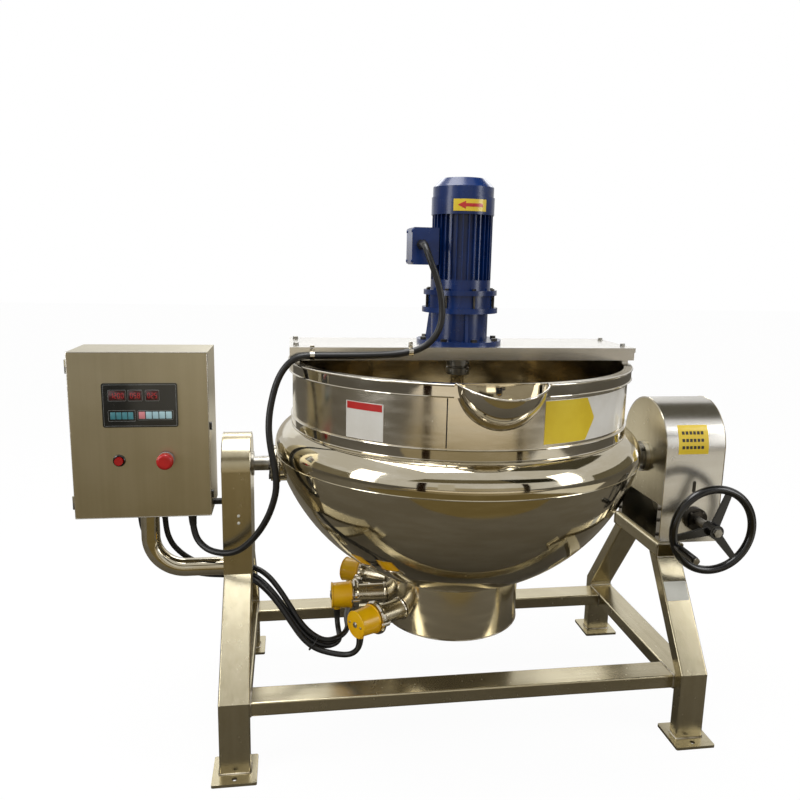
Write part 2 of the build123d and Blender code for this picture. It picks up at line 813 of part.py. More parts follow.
# ---------------------------------------------------------------- bridge
bridge_top = bridge_bottom + bridge_height
bridge_foot = 50
foot_depth = 18
foot_inset = 8
with BuildPart() as bridge:
    with BuildSketch(Plane.YZ.offset(-bridge_half_length)):
        with Locations((0, bridge_top - bridge_lip / 2)):
            Rectangle(2 * bridge_half_width, bridge_lip)
        with Locations((0, bridge_bottom + bridge_height / 2)):
            Rectangle(2 * (bridge_half_width - bridge_groove), bridge_height)
    extrude(amount=2 * bridge_half_length)
    with BuildSketch(Plane.XY.offset(bridge_bottom)):
        Rectangle(
            2 * (bridge_half_length - bridge_sheet),
            2 * (bridge_half_width - bridge_groove - bridge_sheet),
        )
    extrude(amount=bridge_height - bridge_sheet, mode=Mode.SUBTRACT)
    with BuildSketch(Plane.XY.offset(bridge_bottom)):
        Circle(stirrer_shaft_radius + bush_wall)
    extrude(amount=bridge_height, mode=Mode.SUBTRACT)
    with BuildSketch(rim_plane):
        foot_x = (pot_radius + rim_band_radius) / 2 - foot_inset
        with GridLocations(2 * foot_x, 2 * (bridge_half_width - bridge_foot), 2, 2):
            Rectangle(foot_depth, bridge_foot)
    extrude(amount=bridge_top - bridge_sheet - rim_z)
write(bridge, "bridge")

# ---------------------------------------------------------------- gearmotor
def turned(low, steps):
    """Stack of turned steps, each (radius, height), from the height low upwards."""
    with BuildPart() as body:
        for radius, height in steps:
            with BuildSketch(Plane.XY.offset(low)):
                Circle(radius)
            extrude(amount=height)
            low += height
    return body, low


reducer_steps = [
    (reducer_foot_radius, reducer_foot),
    (reducer_radius, reducer_height),
    (gear_flange_radius, gear_flange),
]
reducer, ring_gear_z = turned(bridge_top, reducer_steps)
rib_thickness = 8
rib_foot = 20
with BuildPart() as reducer_housing:
    add(reducer.part)
    for angle in (30, 150, 270):
        along = (cos(radians(angle)), sin(radians(angle)), 0)
        aside = (-sin(radians(angle)), cos(radians(angle)), 0)
        rib_low = bridge_top + reducer_foot
        rib_plane = Plane(origin=(0, 0, rib_low), x_dir=along, z_dir=aside)
        with BuildSketch(rib_plane.offset(-rib_thickness / 2)):
            with BuildLine():
                rib_up = -reducer_height if rib_plane.y_dir.Z < 0 else reducer_height
                Polyline(
                    (reducer_radius - rib_foot, 0), (reducer_radius + rib_foot, 0),
                    (reducer_radius + rib_foot / 2, rib_up), (reducer_radius - rib_foot, rib_up), close=True,
                )
            make_face()
        extrude(amount=rib_thickness)
write(reducer_housing, "reducer_housing")
ring_gear, adapter_z = turned(ring_gear_z, [(ring_gear_radius, ring_gear_height)])
write(ring_gear, "ring_gear_case")
adapter_steps = [(adapter_radius, adapter_flange), (motor_fin_radius, adapter_neck)]
adapter, motor_z = turned(adapter_z, adapter_steps)
write(adapter, "motor_adapter")

foot_bolt = 9
foot_bolt_head = 7
foot_bolt_circle = reducer_foot_radius - 13
tie_bolt = 3.4
tie_bolt_circle = ring_gear_radius + tie_bolt + 0.4
tie_head = 6
tie_nut = 5
tie_nut_circle = adapter_radius - tie_head - 1
bolt_count = 8
with BuildPart() as gearmotor_bolts:
    with BuildSketch(Plane.XY.offset(bridge_top + reducer_foot)):
        with PolarLocations(foot_bolt_circle, bolt_count, start_angle=10):
            RegularPolygon(foot_bolt, 6)
    extrude(amount=foot_bolt_head)
    with BuildSketch(Plane.XY.offset(ring_gear_z)):
        with PolarLocations(tie_bolt_circle, bolt_count, start_angle=10):
            Circle(tie_bolt)
    extrude(amount=ring_gear_height)
    with BuildSketch(Plane.XY.offset(adapter_z + adapter_flange)):
        with PolarLocations(tie_nut_circle, bolt_count, start_angle=10):
            RegularPolygon(tie_head, 6)
    extrude(amount=tie_nut)
write(gearmotor_bolts, "gearmotor_bolts")

motor_top = motor_z + motor_length
with BuildPart() as motor_body:
    with BuildSketch(Plane.XY.offset(motor_z)):
        Circle(motor_core)
        fin_root = motor_core - fin_thickness
        with PolarLocations((fin_root + motor_fin_radius) / 2, fin_count):
            Rectangle(motor_fin_radius - fin_root, fin_thickness)
    extrude(amount=motor_length)
write(motor_body, "motor_body")

cowl_steps = [(cowl_radius, cowl_skirt), (cowl_radius - cowl_step, cowl_height - cowl_skirt)]
cowl, cowl_top = turned(motor_top, cowl_steps)
with BuildPart() as fan_cowl:
    add(cowl.part)
    chamfer(fan_cowl.faces().sort_by(Axis.Z)[-1].edges(), cowl_chamfer)
write(fan_cowl, "fan_cowl")

terminal_x = -motor_core - terminal_reach
terminal_z = motor_z + terminal_lift
with BuildPart() as terminal_box:
    with BuildSketch(Plane.XY.offset(terminal_z)):
        terminal_depth = terminal_reach - terminal_lid
        with Locations((terminal_x + terminal_lid + terminal_depth / 2, 0)):
            Rectangle(terminal_depth, 2 * terminal_half)
    extrude(amount=terminal_height)
    with BuildSketch(Plane.XY.offset(motor_z)):
        Circle(motor_fin_radius + 2)
    extrude(amount=motor_length, mode=Mode.SUBTRACT)
    with BuildSketch(Plane.XY.offset(terminal_z + terminal_height / 3)):
        with Locations((-motor_core, 0)):
            Rectangle(4 * fin_thickness, terminal_half)
    extrude(amount=terminal_height / 3)
    with BuildSketch(Plane.XY.offset(motor_z)):
        Circle(motor_core)
    extrude(amount=motor_length, mode=Mode.SUBTRACT)
    add(motor_body.part, mode=Mode.SUBTRACT)
    lid_screw = 4
    lid_inset = 9
    lid_middle = (terminal_x + terminal_lid, 0, terminal_z + terminal_height / 2)
    lid_plane = Plane(origin=lid_middle, z_dir=(-1, 0, 0))
    with BuildSketch(lid_plane):
        RectangleRounded(2 * terminal_half - 2, terminal_height - 2, 2 * lid_screw)
    extrude(amount=terminal_lid)
    with BuildSketch(lid_plane.offset(terminal_lid)):
        with GridLocations(2 * (terminal_half - lid_inset), terminal_height - 2 * lid_inset, 2, 2):
            Circle(lid_screw)
    extrude(amount=lid_screw / 2)
write(terminal_box, "terminal_box")

gland_x = -motor_core - motor_gland_reach
gland_z = motor_z + motor_gland_lift
gland_nut = 15
gland_nut_length = 12
gland_nose = 10
with BuildPart() as motor_gland:
    with BuildSketch(Plane.XZ.offset(terminal_half)):
        with Locations((gland_x, gland_z)):
            RegularPolygon(gland_nut, 6)
    extrude(amount=gland_nut_length)
    with BuildSketch(Plane.XZ.offset(terminal_half + gland_nut_length)):
        with Locations((gland_x, gland_z)):
            Circle(0.8 * gland_nut)
    extrude(amount=gland_nose)
write(motor_gland, "motor_gland")
gland_end = terminal_half + gland_nut_length + gland_nose

# ---------------------------------------------------------------- stirrer
stirrer_bottom = pot_dish_z - pot_radius + shaft_gap
with BuildPart() as stirrer_shaft:
    with BuildSketch(Plane.XY.offset(stirrer_bottom)):
        Circle(stirrer_shaft_radius)
    extrude(amount=bridge_top - stirrer_bottom)
write(stirrer_shaft, "stirrer_shaft")

anchor_radius_mid = pot_radius - anchor_gap - anchor_thickness / 2
anchor_rise = 60
anchor_top = pot_dish_z + anchor_rise
with BuildPart() as stirrer_anchor:
    with BuildLine():
        left_arm = Line((-anchor_radius_mid, 0, anchor_top), (-anchor_radius_mid, 0, pot_dish_z))
        bowl = ThreePointArc(
            left_arm @ 1, (0, 0, pot_dish_z - anchor_radius_mid), (anchor_radius_mid, 0, pot_dish_z)
        )
        Line(bowl @ 1, (anchor_radius_mid, 0, anchor_top))
    with BuildSketch(Plane(origin=(-anchor_radius_mid, 0, anchor_top), z_dir=(0, 0, -1))):
        Rectangle(anchor_thickness, anchor_width)
    sweep()
    with BuildSketch(Plane.XY.offset(stirrer_bottom - anchor_width)):
        Circle(stirrer_shaft_radius)
    extrude(amount=3 * anchor_width, mode=Mode.SUBTRACT)
write(stirrer_anchor, "stirrer_anchor")

scraper_inner = pot_radius - anchor_gap + running_fit
scraper_outer = sqrt((pot_radius - scraper_gap) ** 2 - (scraper_length / 2) ** 2)
with BuildPart() as scrapers:
    scraper_plane = Plane.XZ.offset(-scraper_width / 2)
    with BuildSketch(scraper_plane):
        for turn in (-70, -45, -20, 0, 180, 200, 225, 250):
            with Locations((0, pot_dish_z)):
                with PolarLocations((scraper_inner + scraper_outer) / 2, 1, start_angle=turn):
                    Rectangle(scraper_outer - scraper_inner, scraper_length)
    extrude(amount=scraper_width)
write(scrapers, "scrapers")

# ---------------------------------------------------------------- control box
box_back = box_front + box_depth
box_right = head_left - box_gap
box_left = box_right - box_width
box_middle = box_left + box_width / 2
box_top = box_bottom + box_height
door_back = box_front + door_depth
with BuildPart() as box_body:
    with BuildSketch(Plane.XY.offset(box_bottom)):
        with Locations((box_middle, (door_back + door_gap + box_back) / 2)):
            Rectangle(box_width, box_back - door_back - door_gap)
    extrude(amount=box_height)
    with BuildSketch(Plane.XZ.offset(-door_back - door_gap)):
        with Locations((box_middle, box_bottom + box_height / 2)):
            Rectangle(box_width - 2 * box_sheet, box_height - 2 * box_sheet)
    extrude(amount=-(box_back - door_back - door_gap - box_sheet), mode=Mode.SUBTRACT)
write(box_body, "box_body")

# Door hinges on the left: the lower knuckle and its pin are on the box
hinge_x = box_left - hinge_radius
hinge_y = door_back + door_gap
hinge_heights = (hinge_inset, box_height - hinge_inset)
leaf = 1.5
door_leaf = 14
box_leaf = 20
hinge_gap = 0.5
panel_frame = 6
panel_left = 84
panel_width = 192
panel_top = 81
panel_height = 118
button_drop = 290
lamp_across = 120
stop_across = 240
lamp_radius = 12
stop_hole = 11
with BuildPart() as box_door:
    with BuildSketch(Plane.XZ.offset(-door_back)):
        with Locations((box_middle, box_bottom + box_height / 2)):
            Rectangle(box_width, box_height)
    extrude(amount=door_depth)
    with BuildSketch(Plane.XZ.offset(-door_back)):
        with Locations((box_middle, box_bottom + box_height / 2)):
            Rectangle(box_width - 2 * box_sheet, box_height - 2 * box_sheet)
    extrude(amount=door_depth - box_sheet, mode=Mode.SUBTRACT)
    with BuildSketch(Plane.XZ.offset(-door_back)):
        with Locations((box_left + panel_left + panel_width / 2, box_top - panel_top - panel_height / 2)):
            Rectangle(panel_width - 2 * panel_frame, panel_height - 2 * panel_frame)
        with Locations((box_left + lamp_across, box_top - button_drop)):
            Circle(lamp_radius)
        with Locations((box_left + stop_across, box_top - button_drop)):
            Circle(stop_hole)
    extrude(amount=door_depth, mode=Mode.SUBTRACT)
    for height in hinge_heights:
        with BuildSketch(Plane.XY.offset(box_bottom + height)):
            with Locations((hinge_x, hinge_y)):
                Circle(hinge_radius)
            with Locations((box_left - leaf / 2, door_back - door_leaf / 2)):
                Rectangle(leaf, door_leaf + 2 * door_gap)
            with Locations((hinge_x, hinge_y)):
                Circle(hinge_pin_radius + running_fit, mode=Mode.SUBTRACT)
        extrude(amount=hinge_knuckle)
write(box_door, "box_door")

panel_middle = (box_left + panel_left + panel_width / 2, box_top - panel_top - panel_height / 2)
bezel = 5
controller_depth = 60
with BuildPart() as controller:
    with BuildSketch(Plane.XZ.offset(-box_front)):
        with Locations(panel_middle):
            RectangleRounded(panel_width, panel_height, panel_frame)
    extrude(amount=bezel)
    with BuildSketch(Plane.XZ.offset(-box_front)):
        with Locations(panel_middle):
            Rectangle(panel_width - 2 * panel_frame - box_sheet, panel_height - 2 * panel_frame - box_sheet)
    extrude(amount=-controller_depth)
write(controller, "controller")

button_play = 1
button_out = 12
with BuildPart() as power_button:
    with BuildSketch(Plane.XZ.offset(-door_back)):
        with Locations((box_left + lamp_across, box_top - button_drop)):
            Circle(lamp_radius - button_play)
    extrude(amount=door_depth + button_out)
write(power_button, "power_button")

stop_neck = 10
stop_head = 20
stop_radius = 22
stop_round = 8
with BuildPart() as emergency_stop:
    with BuildSketch(Plane.XZ.offset(-door_back)):
        with Locations((box_left + stop_across, box_top - button_drop)):
            Circle(stop_hole - button_play)
    extrude(amount=door_depth + stop_neck)
    with BuildSketch(Plane.XZ.offset(-box_front + stop_neck)):
        with Locations((box_left + stop_across, box_top - button_drop)):
            Circle(stop_radius)
    extrude(amount=stop_head)
    fillet(emergency_stop.faces().sort_by(Axis.Y)[0].edges(), stop_round)
write(emergency_stop, "emergency_stop")

arm_x = box_right - arm_inset
with BuildPart() as box_arm:
    with BuildLine():
        FilletPolyline(
            (arm_x, arm_y, box_bottom), (arm_x, arm_y, arm_z),
            (head_left, arm_y, arm_z), radius=arm_bend,
        )
    with BuildSketch(Plane(origin=(arm_x, arm_y, box_bottom), z_dir=(0, 0, -1))):
        Circle(arm_radius)
        Circle(arm_radius - arm_wall, mode=Mode.SUBTRACT)
    sweep()
write(box_arm, "box_arm")

stay_z = box_bottom + 19
stay_width = 20
stay_height = 12
with BuildPart() as stay_bar:
    with BuildSketch(Plane.YZ.offset(box_right)):
        with Locations((arm_y, stay_z)):
            Rectangle(stay_width, stay_height)
    extrude(amount=box_gap)
write(stay_bar, "stay_bar")

gland_height = 18
gland_radius = 12
motor_gland_in = 296
motor_gland_y = -64
heater_gland_in = 174
gland_pitch = 36
gland_row_y = 0
gland_offset_y = 22
with BuildPart() as box_glands:
    with BuildSketch(Plane.XY.offset(box_bottom - gland_height)):
        with Locations(
            (box_left + motor_gland_in, motor_gland_y),
            (box_left + heater_gland_in, gland_row_y),
            (box_left + heater_gland_in - gland_pitch, gland_offset_y),
            (box_left + heater_gland_in + gland_pitch, gland_row_y),
        ):
            RegularPolygon(gland_radius, 6)
    extrude(amount=gland_height)
write(box_glands, "box_glands")

with BuildPart() as box_hinges:
    for height in hinge_heights:
        with BuildSketch(Plane.XY.offset(box_bottom + height - hinge_knuckle)):
            with Locations((hinge_x, hinge_y)):
                Circle(hinge_radius)
            with Locations((box_left - leaf / 2, hinge_y + box_leaf / 2)):
                Rectangle(leaf, box_leaf)
        extrude(amount=hinge_knuckle - hinge_gap)
        with BuildSketch(Plane.XY.offset(box_bottom + height - hinge_knuckle)):
            with Locations((hinge_x, hinge_y)):
                Circle(hinge_pin_radius)
        extrude(amount=2 * hinge_knuckle)
write(box_hinges, "box_hinges")

latch_heights = (box_height - 200, 60)
latch_width = 12
latch_length = 22
latch_height = 7
with BuildPart() as door_latches:
    for height in latch_heights:
        with BuildSketch(Plane.YZ.offset(box_right)):
            with Locations((door_back - door_depth / 2, box_bottom + height)):
                RectangleRounded(latch_width, latch_length, 0.45 * latch_width)
        extrude(amount=latch_height)
write(door_latches, "door_latches")

# Switchgear on its mounting plate at the back of the box
gear_standoff = 14
stud_radius = 5
stud_inset = 15
plate_side = 25         # mounting plate's edge from the box's side
plate_end = 30
plate_front = box_back - box_sheet - gear_standoff
drive_half = 55         # motor drive, contactor, transformer and terminal row
drive_height = 150
small_half = 36
small_height = 80
wide_half = 45
terminal_row_height = 46
module_gap = 20
module_depth = 60
upper_row = box_top - plate_end - module_gap
drive_x = box_left + plate_side + module_gap + drive_half
small_x = box_right - plate_side - module_gap - wide_half
small_gap = 25
row_z = box_bottom + plate_end + module_gap + terminal_row_height
with BuildPart() as switchgear:
    with BuildSketch(Plane.XZ.offset(-plate_front)):
        with Locations((box_middle, box_bottom + box_height / 2)):
            Rectangle(box_width - 2 * plate_side, box_height - 2 * plate_end)
    extrude(amount=-box_sheet)
    with BuildSketch(Plane.XZ.offset(-plate_front - box_sheet)):
        with Locations((box_middle, box_bottom + box_height / 2)):
            with GridLocations(
                box_width - 2 * (plate_side + stud_inset), box_height - 2 * (plate_end + stud_inset), 2, 2
            ):
                Circle(stud_radius)
    extrude(amount=-(gear_standoff - box_sheet))
    with BuildSketch(Plane.XZ.offset(-plate_front)):
        with Locations((drive_x, upper_row - drive_height / 2)):
            Rectangle(2 * drive_half, drive_height)
        with Locations((small_x, upper_row - small_height / 2)):
            Rectangle(2 * small_half, small_height)
        with Locations((small_x, upper_row - small_height - small_gap - small_height / 2)):
            Rectangle(2 * wide_half, small_height)
        with Locations((box_middle, row_z)):
            Rectangle(4 * drive_half, terminal_row_height)
    extrude(amount=module_depth)
write(switchgear, "switchgear")

# ---------------------------------------------------------------- cables
def corner_radii(points):
    """Arc at each corner as large as its two runs allow."""
    radii = []
    for before, corner, after in zip(points, points[1:], points[2:]):
        run_in = Vector(corner) - Vector(before)
        run_out = Vector(after) - Vector(corner)
        half_turn = radians(run_in.get_angle(run_out) / 2)
        radii.append(0.45 * min(run_in.length, run_out.length) / tan(half_turn))
    return radii


def cable_tube(name, points, radius):
    radii = corner_radii(points)
    with BuildPart() as tube:
        with BuildLine() as route:
            FilletPolyline(*points, radius=radii)
        start = route.line @ 0
        with BuildSketch(Plane(origin=start, z_dir=route.line % 0)):
            Circle(radius)
        sweep()
    length = route.wires()[0].length
    share = tube.part.volume / (pi * radius ** 2 * length)
    print(name, "radii", [round(r) for r in radii], "length", round(length), "volume share", round(share, 4))
    return tube


def cable(name, points, radius):
    write(cable_tube(name, points, radius), name)


cable("motor_cable", [
    (gland_x, -gland_end, gland_z), (gland_x, -96, gland_z), (-123, -119, 1374), (-114, -131, 1344),
    (-98, -136, 1304), (-84, -138, 1256),
    (-78, -139, 1204), (-86, -139, 1158), (-112, -139.5, 1122), (-152, -139.5, 1101), (-205, -139.5, 1092),
    (-262, -139.5, 1089.5), (-316, -139.5, 1088.5), (-370, -139.5, 1088), (-425, -139.5, 1088),
], motor_cable_radius)

# From the bridge the cable hangs in a loop, and flexes as the kettle tips
cable("hanging_cable", [
    (-425, -139.5, 1088), (-455, -139.5, 1088), (-484, -140, 1077), (-508, -142, 1051), (-525, -146, 1018),
    (-537, -151, 976), (-545, -156, 932), (-547, -162, 892), (-543, -168, 850), (-535, -174, 808),
    (-528, -178, 768), (-528, -180, 728), (-538, -179, 688), (-552, -176, 651), (-574, -168, 611),
    (-603, -158, 574), (-638, -143, 543), (-680, -122, 531),
    (-729, -90, 534), (box_left + motor_gland_in, motor_gland_y, 571),
    (box_left + motor_gland_in, motor_gland_y, box_bottom - gland_height),
], motor_cable_radius)


def neck_at(number, drop=0, along=(0, 0)):
    """Point under one heater cap's cable neck, moved down and sideways."""
    angle = radians(heater_angles[number])
    middle_x = neck_out * cos(angle)
    middle_y = neck_out * sin(angle)
    return middle_x + along[0], middle_y + along[1], neck_bottom - drop


heater_routes = [
    [neck_at(0), neck_at(0, 24.5), neck_at(0, 49.5, (-12.6, 7.1)), neck_at(0, 63, (-36, 17)),
     (-380, -153, 229), (-424, -138, 238), (-458, -124, 262), (-490, -102, 302), (-524, -74, 346),
     (-562, -42, 382), (-604, -10, 404), (-650, 12, 408), (-696, 22, 406), (-742, 22, 410),
     (-786, 16, 424), (-824, 8, 446), (-856, 2, 478), (-878, 0, 520), (-886, 0, 574),
     (box_left + heater_gland_in, gland_row_y, box_bottom - gland_height)],
    [neck_at(1), neck_at(1, 24.5), neck_at(1, 49.5, (1.5, -14.5)), neck_at(1, 60, (4, -41)),
     (-348, -76, 231), (-362, -106, 232), (-390, -122, 234), (-424, -116, 244), (-458, -101, 268),
     (-491, -80, 308),
     (-525, -53, 352), (-563, -21, 388), (-604, 10, 410), (-648, 32, 415), (-694, 42, 413),
     (-740, 42, 416), (-784, 36, 430), (-824, 28, 452), (-860, 24, 482), (-892, 22, 512), (-914, 22, 548),
     (box_left + heater_gland_in - gland_pitch, gland_offset_y, 588),
     (box_left + heater_gland_in - gland_pitch, gland_offset_y, box_bottom - gland_height)],
    [neck_at(2), neck_at(2, 24.5), neck_at(2, 49.5, (-2, -14.5)), neck_at(2, 60, (-7, -41)),
     (-312, 102, 233), (-320, 46, 242),
     (-322, -2, 248), (-322, -48, 254), (-334, -90, 256), (-360, -116, 254), (-394, -123, 252),
     (-428, -112, 266), (-460, -96, 292), (-490, -72, 334), (-522, -44, 378), (-558, -12, 414),
     (-600, 16, 430.5), (-648, 26, 430.5), (-694, 32, 428), (-738, 32, 434), (-778, 28, 452),
     (-812, 18, 482), (-838, 8, 520), (box_left + heater_gland_in + gland_pitch, gland_row_y, 572),
     (box_left + heater_gland_in + gland_pitch, gland_row_y, box_bottom - gland_height)],
]
tubes = []
for route in heater_routes:
    tubes.append(cable_tube("heater_cable", route, heater_cable_radius))
with BuildPart() as heater_cables:
    add([tube.part for tube in tubes])
write(heater_cables, "heater_cables")
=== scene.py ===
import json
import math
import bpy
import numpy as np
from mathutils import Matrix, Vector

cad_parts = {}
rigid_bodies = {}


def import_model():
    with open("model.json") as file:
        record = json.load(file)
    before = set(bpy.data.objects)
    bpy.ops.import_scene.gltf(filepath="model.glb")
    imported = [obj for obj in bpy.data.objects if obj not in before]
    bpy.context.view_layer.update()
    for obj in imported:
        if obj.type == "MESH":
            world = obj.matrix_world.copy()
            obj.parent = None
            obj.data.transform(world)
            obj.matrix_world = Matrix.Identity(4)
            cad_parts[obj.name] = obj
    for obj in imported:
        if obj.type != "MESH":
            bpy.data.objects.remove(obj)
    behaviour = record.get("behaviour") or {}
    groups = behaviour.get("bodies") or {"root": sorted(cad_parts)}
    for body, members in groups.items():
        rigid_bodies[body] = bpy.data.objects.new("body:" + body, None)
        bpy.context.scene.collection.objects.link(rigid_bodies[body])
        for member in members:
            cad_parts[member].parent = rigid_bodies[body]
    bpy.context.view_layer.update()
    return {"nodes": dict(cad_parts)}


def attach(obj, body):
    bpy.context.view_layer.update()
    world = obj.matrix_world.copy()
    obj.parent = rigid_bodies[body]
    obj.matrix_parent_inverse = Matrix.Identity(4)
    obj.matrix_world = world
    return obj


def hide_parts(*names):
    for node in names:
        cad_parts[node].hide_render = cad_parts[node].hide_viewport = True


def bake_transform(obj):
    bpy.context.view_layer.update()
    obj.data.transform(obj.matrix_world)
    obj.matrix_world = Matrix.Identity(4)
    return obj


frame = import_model()

# %% [markdown]
# # Steam jacketed kettle
# A tilting cooking kettle of polished stainless sheet hangs by two trunnions in a frame of
# rectangular tube. A gearmotor on a bridge turns the stirrer, a worm gear behind the handwheel
# tips the pot, and a box on a bent pipe holds the controls. The solid parts come from the CAD
# model. This file gives them their finish and adds what is too small or too soft for it: cables,
# weld beads, bolts, beads of the sheet edges, keys, displays, plates and clips.
# All lengths are metres, with the kettle's axis on Z and the floor at Z = 0.

nodes = frame["nodes"]
TAU = 2 * math.pi
made = []

# %% [markdown]
# ## Surfaces from arrays
# Every added piece is a grid of points worked out as one numpy array and joined by quads. A turned
# piece is a profile carried round an axis, a tube is a ring carried along a path, and a plate is an
# outline carried through its thickness, so three small functions are enough for all of them.

# %% Mesh helpers
def unit(v):
    """v / |v| along the last axis."""
    v = np.asarray(v, float)
    return v / np.linalg.norm(v, axis=-1, keepdims=True)


def piece(name, body, parts, smooth=True, split=40):
    """One object from (points, faces) parts, joined as they are, riding on a body."""
    points, faces, first = [], [], 0
    for p, f in parts:
        points.append(p)
        faces += [tuple(i + first for i in face) for face in f]
        first += len(p)
    mesh = bpy.data.meshes.new(name)
    mesh.from_pydata(np.concatenate(points).tolist(), [], faces)
    mesh.validate()
    if smooth:
        mesh.shade_smooth()
        mesh.set_sharp_from_angle(angle=math.radians(split))
    ob = bpy.data.objects.new(name, mesh)
    bpy.context.scene.collection.objects.link(ob)
    if body:
        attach(ob, body)
    made.append((name, len(faces)))
    return ob


def rings(loops, closed=False):
    """Quads between loops of points shaped (m, n, 3); the two ends are capped unless closed."""
    loops = np.asarray(loops, float)
    m, n, _ = loops.shape
    i, j = np.meshgrid(np.arange(m if closed else m - 1), np.arange(n), indexing="ij")
    k, l = (i + 1) % m, (j + 1) % n
    quads = np.stack([i * n + j, i * n + l, k * n + l, k * n + j], -1).reshape(-1, 4).tolist()
    if not closed:
        quads.append(list(range(n))[::-1])
        quads.append([(m - 1) * n + a for a in range(n)])
    return loops.reshape(-1, 3), quads


def basis(axis):
    """Two unit vectors square to an axis and to each other, with e1 x e2 = axis."""
    axis = unit(axis)
    side = np.array([0, 0, 1.0]) if abs(axis[2]) < 0.9 else np.array([1.0, 0, 0])
    e1 = unit(np.cross(side, axis))
    return e1, np.cross(axis, e1), axis


def lathe(profile, centre, axis=(0, 0, 1), n=96, closed=False):
    """Turned surface: P = c + r (e1 cos a + e2 sin a) + h axis for each (r, h) of the profile."""
    e1, e2, e3 = basis(axis)
    a = np.arange(n) * TAU / n
    rh = np.asarray(profile, float)
    ring = np.cos(a)[:, None] * e1 + np.sin(a)[:, None] * e2
    loops = np.asarray(centre) + rh[:, 0, None, None] * ring + rh[:, 1, None, None] * e3
    return rings(loops, closed)


def bead_profile(radius, height, bead, n=12):
    """Circle of radius bead about (radius, height), for a closed lathe."""
    a = -np.arange(n) * TAU / n
    return [(radius + bead * math.cos(t), height + bead * math.sin(t)) for t in a]


def tube(path, radius, n=16, closed=False, ripple=0.0, waves=0):
    """Ring of radius r carried along a path without twist; r (1 + ripple sin) makes a weld's scales."""
    p = np.asarray(path, float)
    step = (np.roll(p, -1, 0) - np.roll(p, 1, 0)) if closed else np.gradient(p, axis=0)
    t = unit(step)
    e1, e2, _ = basis(t[0])
    loops = []
    a = np.arange(n) * TAU / n
    radii = np.broadcast_to(np.asarray(radius, float), (len(p),)).copy()
    if waves:
        radii *= 1 + ripple * np.sin(np.linspace(0, TAU * waves, len(p)))
    for q, d, r in zip(p, t, radii):
        e1 = unit(e1 - d * np.dot(e1, d))
        e2 = np.cross(d, e1)
        loops.append(q + r * (np.cos(a)[:, None] * e1 + np.sin(a)[:, None] * e2))
    return rings(loops, closed)


def rounded(width, height, corner, n=5):
    """Rounded rectangle about the origin as (x, y) points, counter-clockwise."""
    out = []
    for cx, cy, a0 in ((1, 1, 0), (-1, 1, 90), (-1, -1, 180), (1, -1, 270)):
        for a in np.radians(np.linspace(a0, a0 + 90, n)):
            out.append((cx * (width / 2 - corner) + corner * math.cos(a),
                        cy * (height / 2 - corner) + corner * math.sin(a)))
    return np.array(out)


def plate(outline, origin, ex, ey, thickness, bevel=0.0003, sink=0.0003):
    """Outline carried along ex x ey through a thickness, its outer edge bevelled and its back sunk."""
    o, ex, ey = np.asarray(origin, float), unit(ex), unit(ey)
    ez = np.cross(ex, ey)
    xy = np.asarray(outline, float)
    size = np.abs(xy).max(0)
    inner = xy * (1 - bevel / size)
    levels = [(xy, -sink), (xy, thickness - bevel), (inner, thickness)]
    return rings([o + a[:, :1] * ex + a[:, 1:] * ey + h * ez for a, h in levels])


def hexagon(centre, axis, across, height, turn=0.0, washer=True):
    """Bolt head: chamfered hexagon on a round washer, standing on a face at centre."""
    e1, e2, e3 = basis(axis)
    a = np.arange(24) * TAU / 24 + turn
    c = np.asarray(centre, float)
    flat = (across / 2) / np.cos((a - turn + TAU / 12) % (TAU / 6) - TAU / 12)
    ring = lambda r, h: c + np.broadcast_to(r, a.shape)[:, None] * (
        np.cos(a)[:, None] * e1 + np.sin(a)[:, None] * e2) + h * e3
    base = 0.16 * height if washer else 0.0
    loops = [ring(0.62 * across, -0.0004), ring(0.62 * across, base)] if washer else [ring(flat, -0.0004)]
    loops += [ring(flat, base), ring(flat, base + 0.86 * height), ring(0.45 * across, base + height)]
    return rings(loops)


def rectangle_path(origin, ex, ey, width, height, corner, step=0.002):
    """Closed path round a rounded rectangle, in steps of about one length."""
    xy = rounded(width, height, corner, 8)
    xy = np.vstack([xy, xy[:1]])
    s = np.r_[0, np.cumsum(np.linalg.norm(np.diff(xy, axis=0), axis=1))]
    t = np.linspace(0, s[-1], max(24, int(s[-1] / step)), endpoint=False)
    x, y = np.interp(t, s, xy[:, 0]), np.interp(t, s, xy[:, 1])
    return np.asarray(origin) + x[:, None] * unit(ex) + y[:, None] * unit(ey)


# %% [markdown]
# ## Camera
# The view stands a little left of the kettle's middle and looks down on it from about the height of
# the motor, which shows the front, the right side of the box and the top of the bridge.

# %% Camera
CAM = dict(x=-0.4895, y=-2.1196, z=1.3408, yaw=0.1498, pitch=0.1849, roll=0.0204, focal=740.86)
cam_data = bpy.data.cameras.new("camera")
cam_data.sensor_width = 36.0
cam_data.lens = CAM["focal"] * 36 / 800
cam_data.clip_start, cam_data.clip_end = 0.05, 60
camera = bpy.data.objects.new("camera", cam_data)
bpy.context.scene.collection.objects.link(camera)
yaw, pitch, roll = CAM["yaw"], CAM["pitch"], CAM["roll"]
forward = Vector((math.sin(yaw) * math.cos(pitch), math.cos(yaw) * math.cos(pitch), -math.sin(pitch)))
level = Vector((math.cos(yaw), -math.sin(yaw), 0))
up = level.cross(forward)
right = level * math.cos(roll) + up * math.sin(roll)
above = up * math.cos(roll) - level * math.sin(roll)
matrix = camera.matrix_world.copy()
for row in range(3):
    matrix[row][0], matrix[row][1], matrix[row][2] = right[row], above[row], -forward[row]
matrix[0][3], matrix[1][3], matrix[2][3] = CAM["x"], CAM["y"], CAM["z"]
camera.matrix_world = matrix
bpy.context.scene.camera = camera
print("camera lens", round(cam_data.lens, 2), "mm")

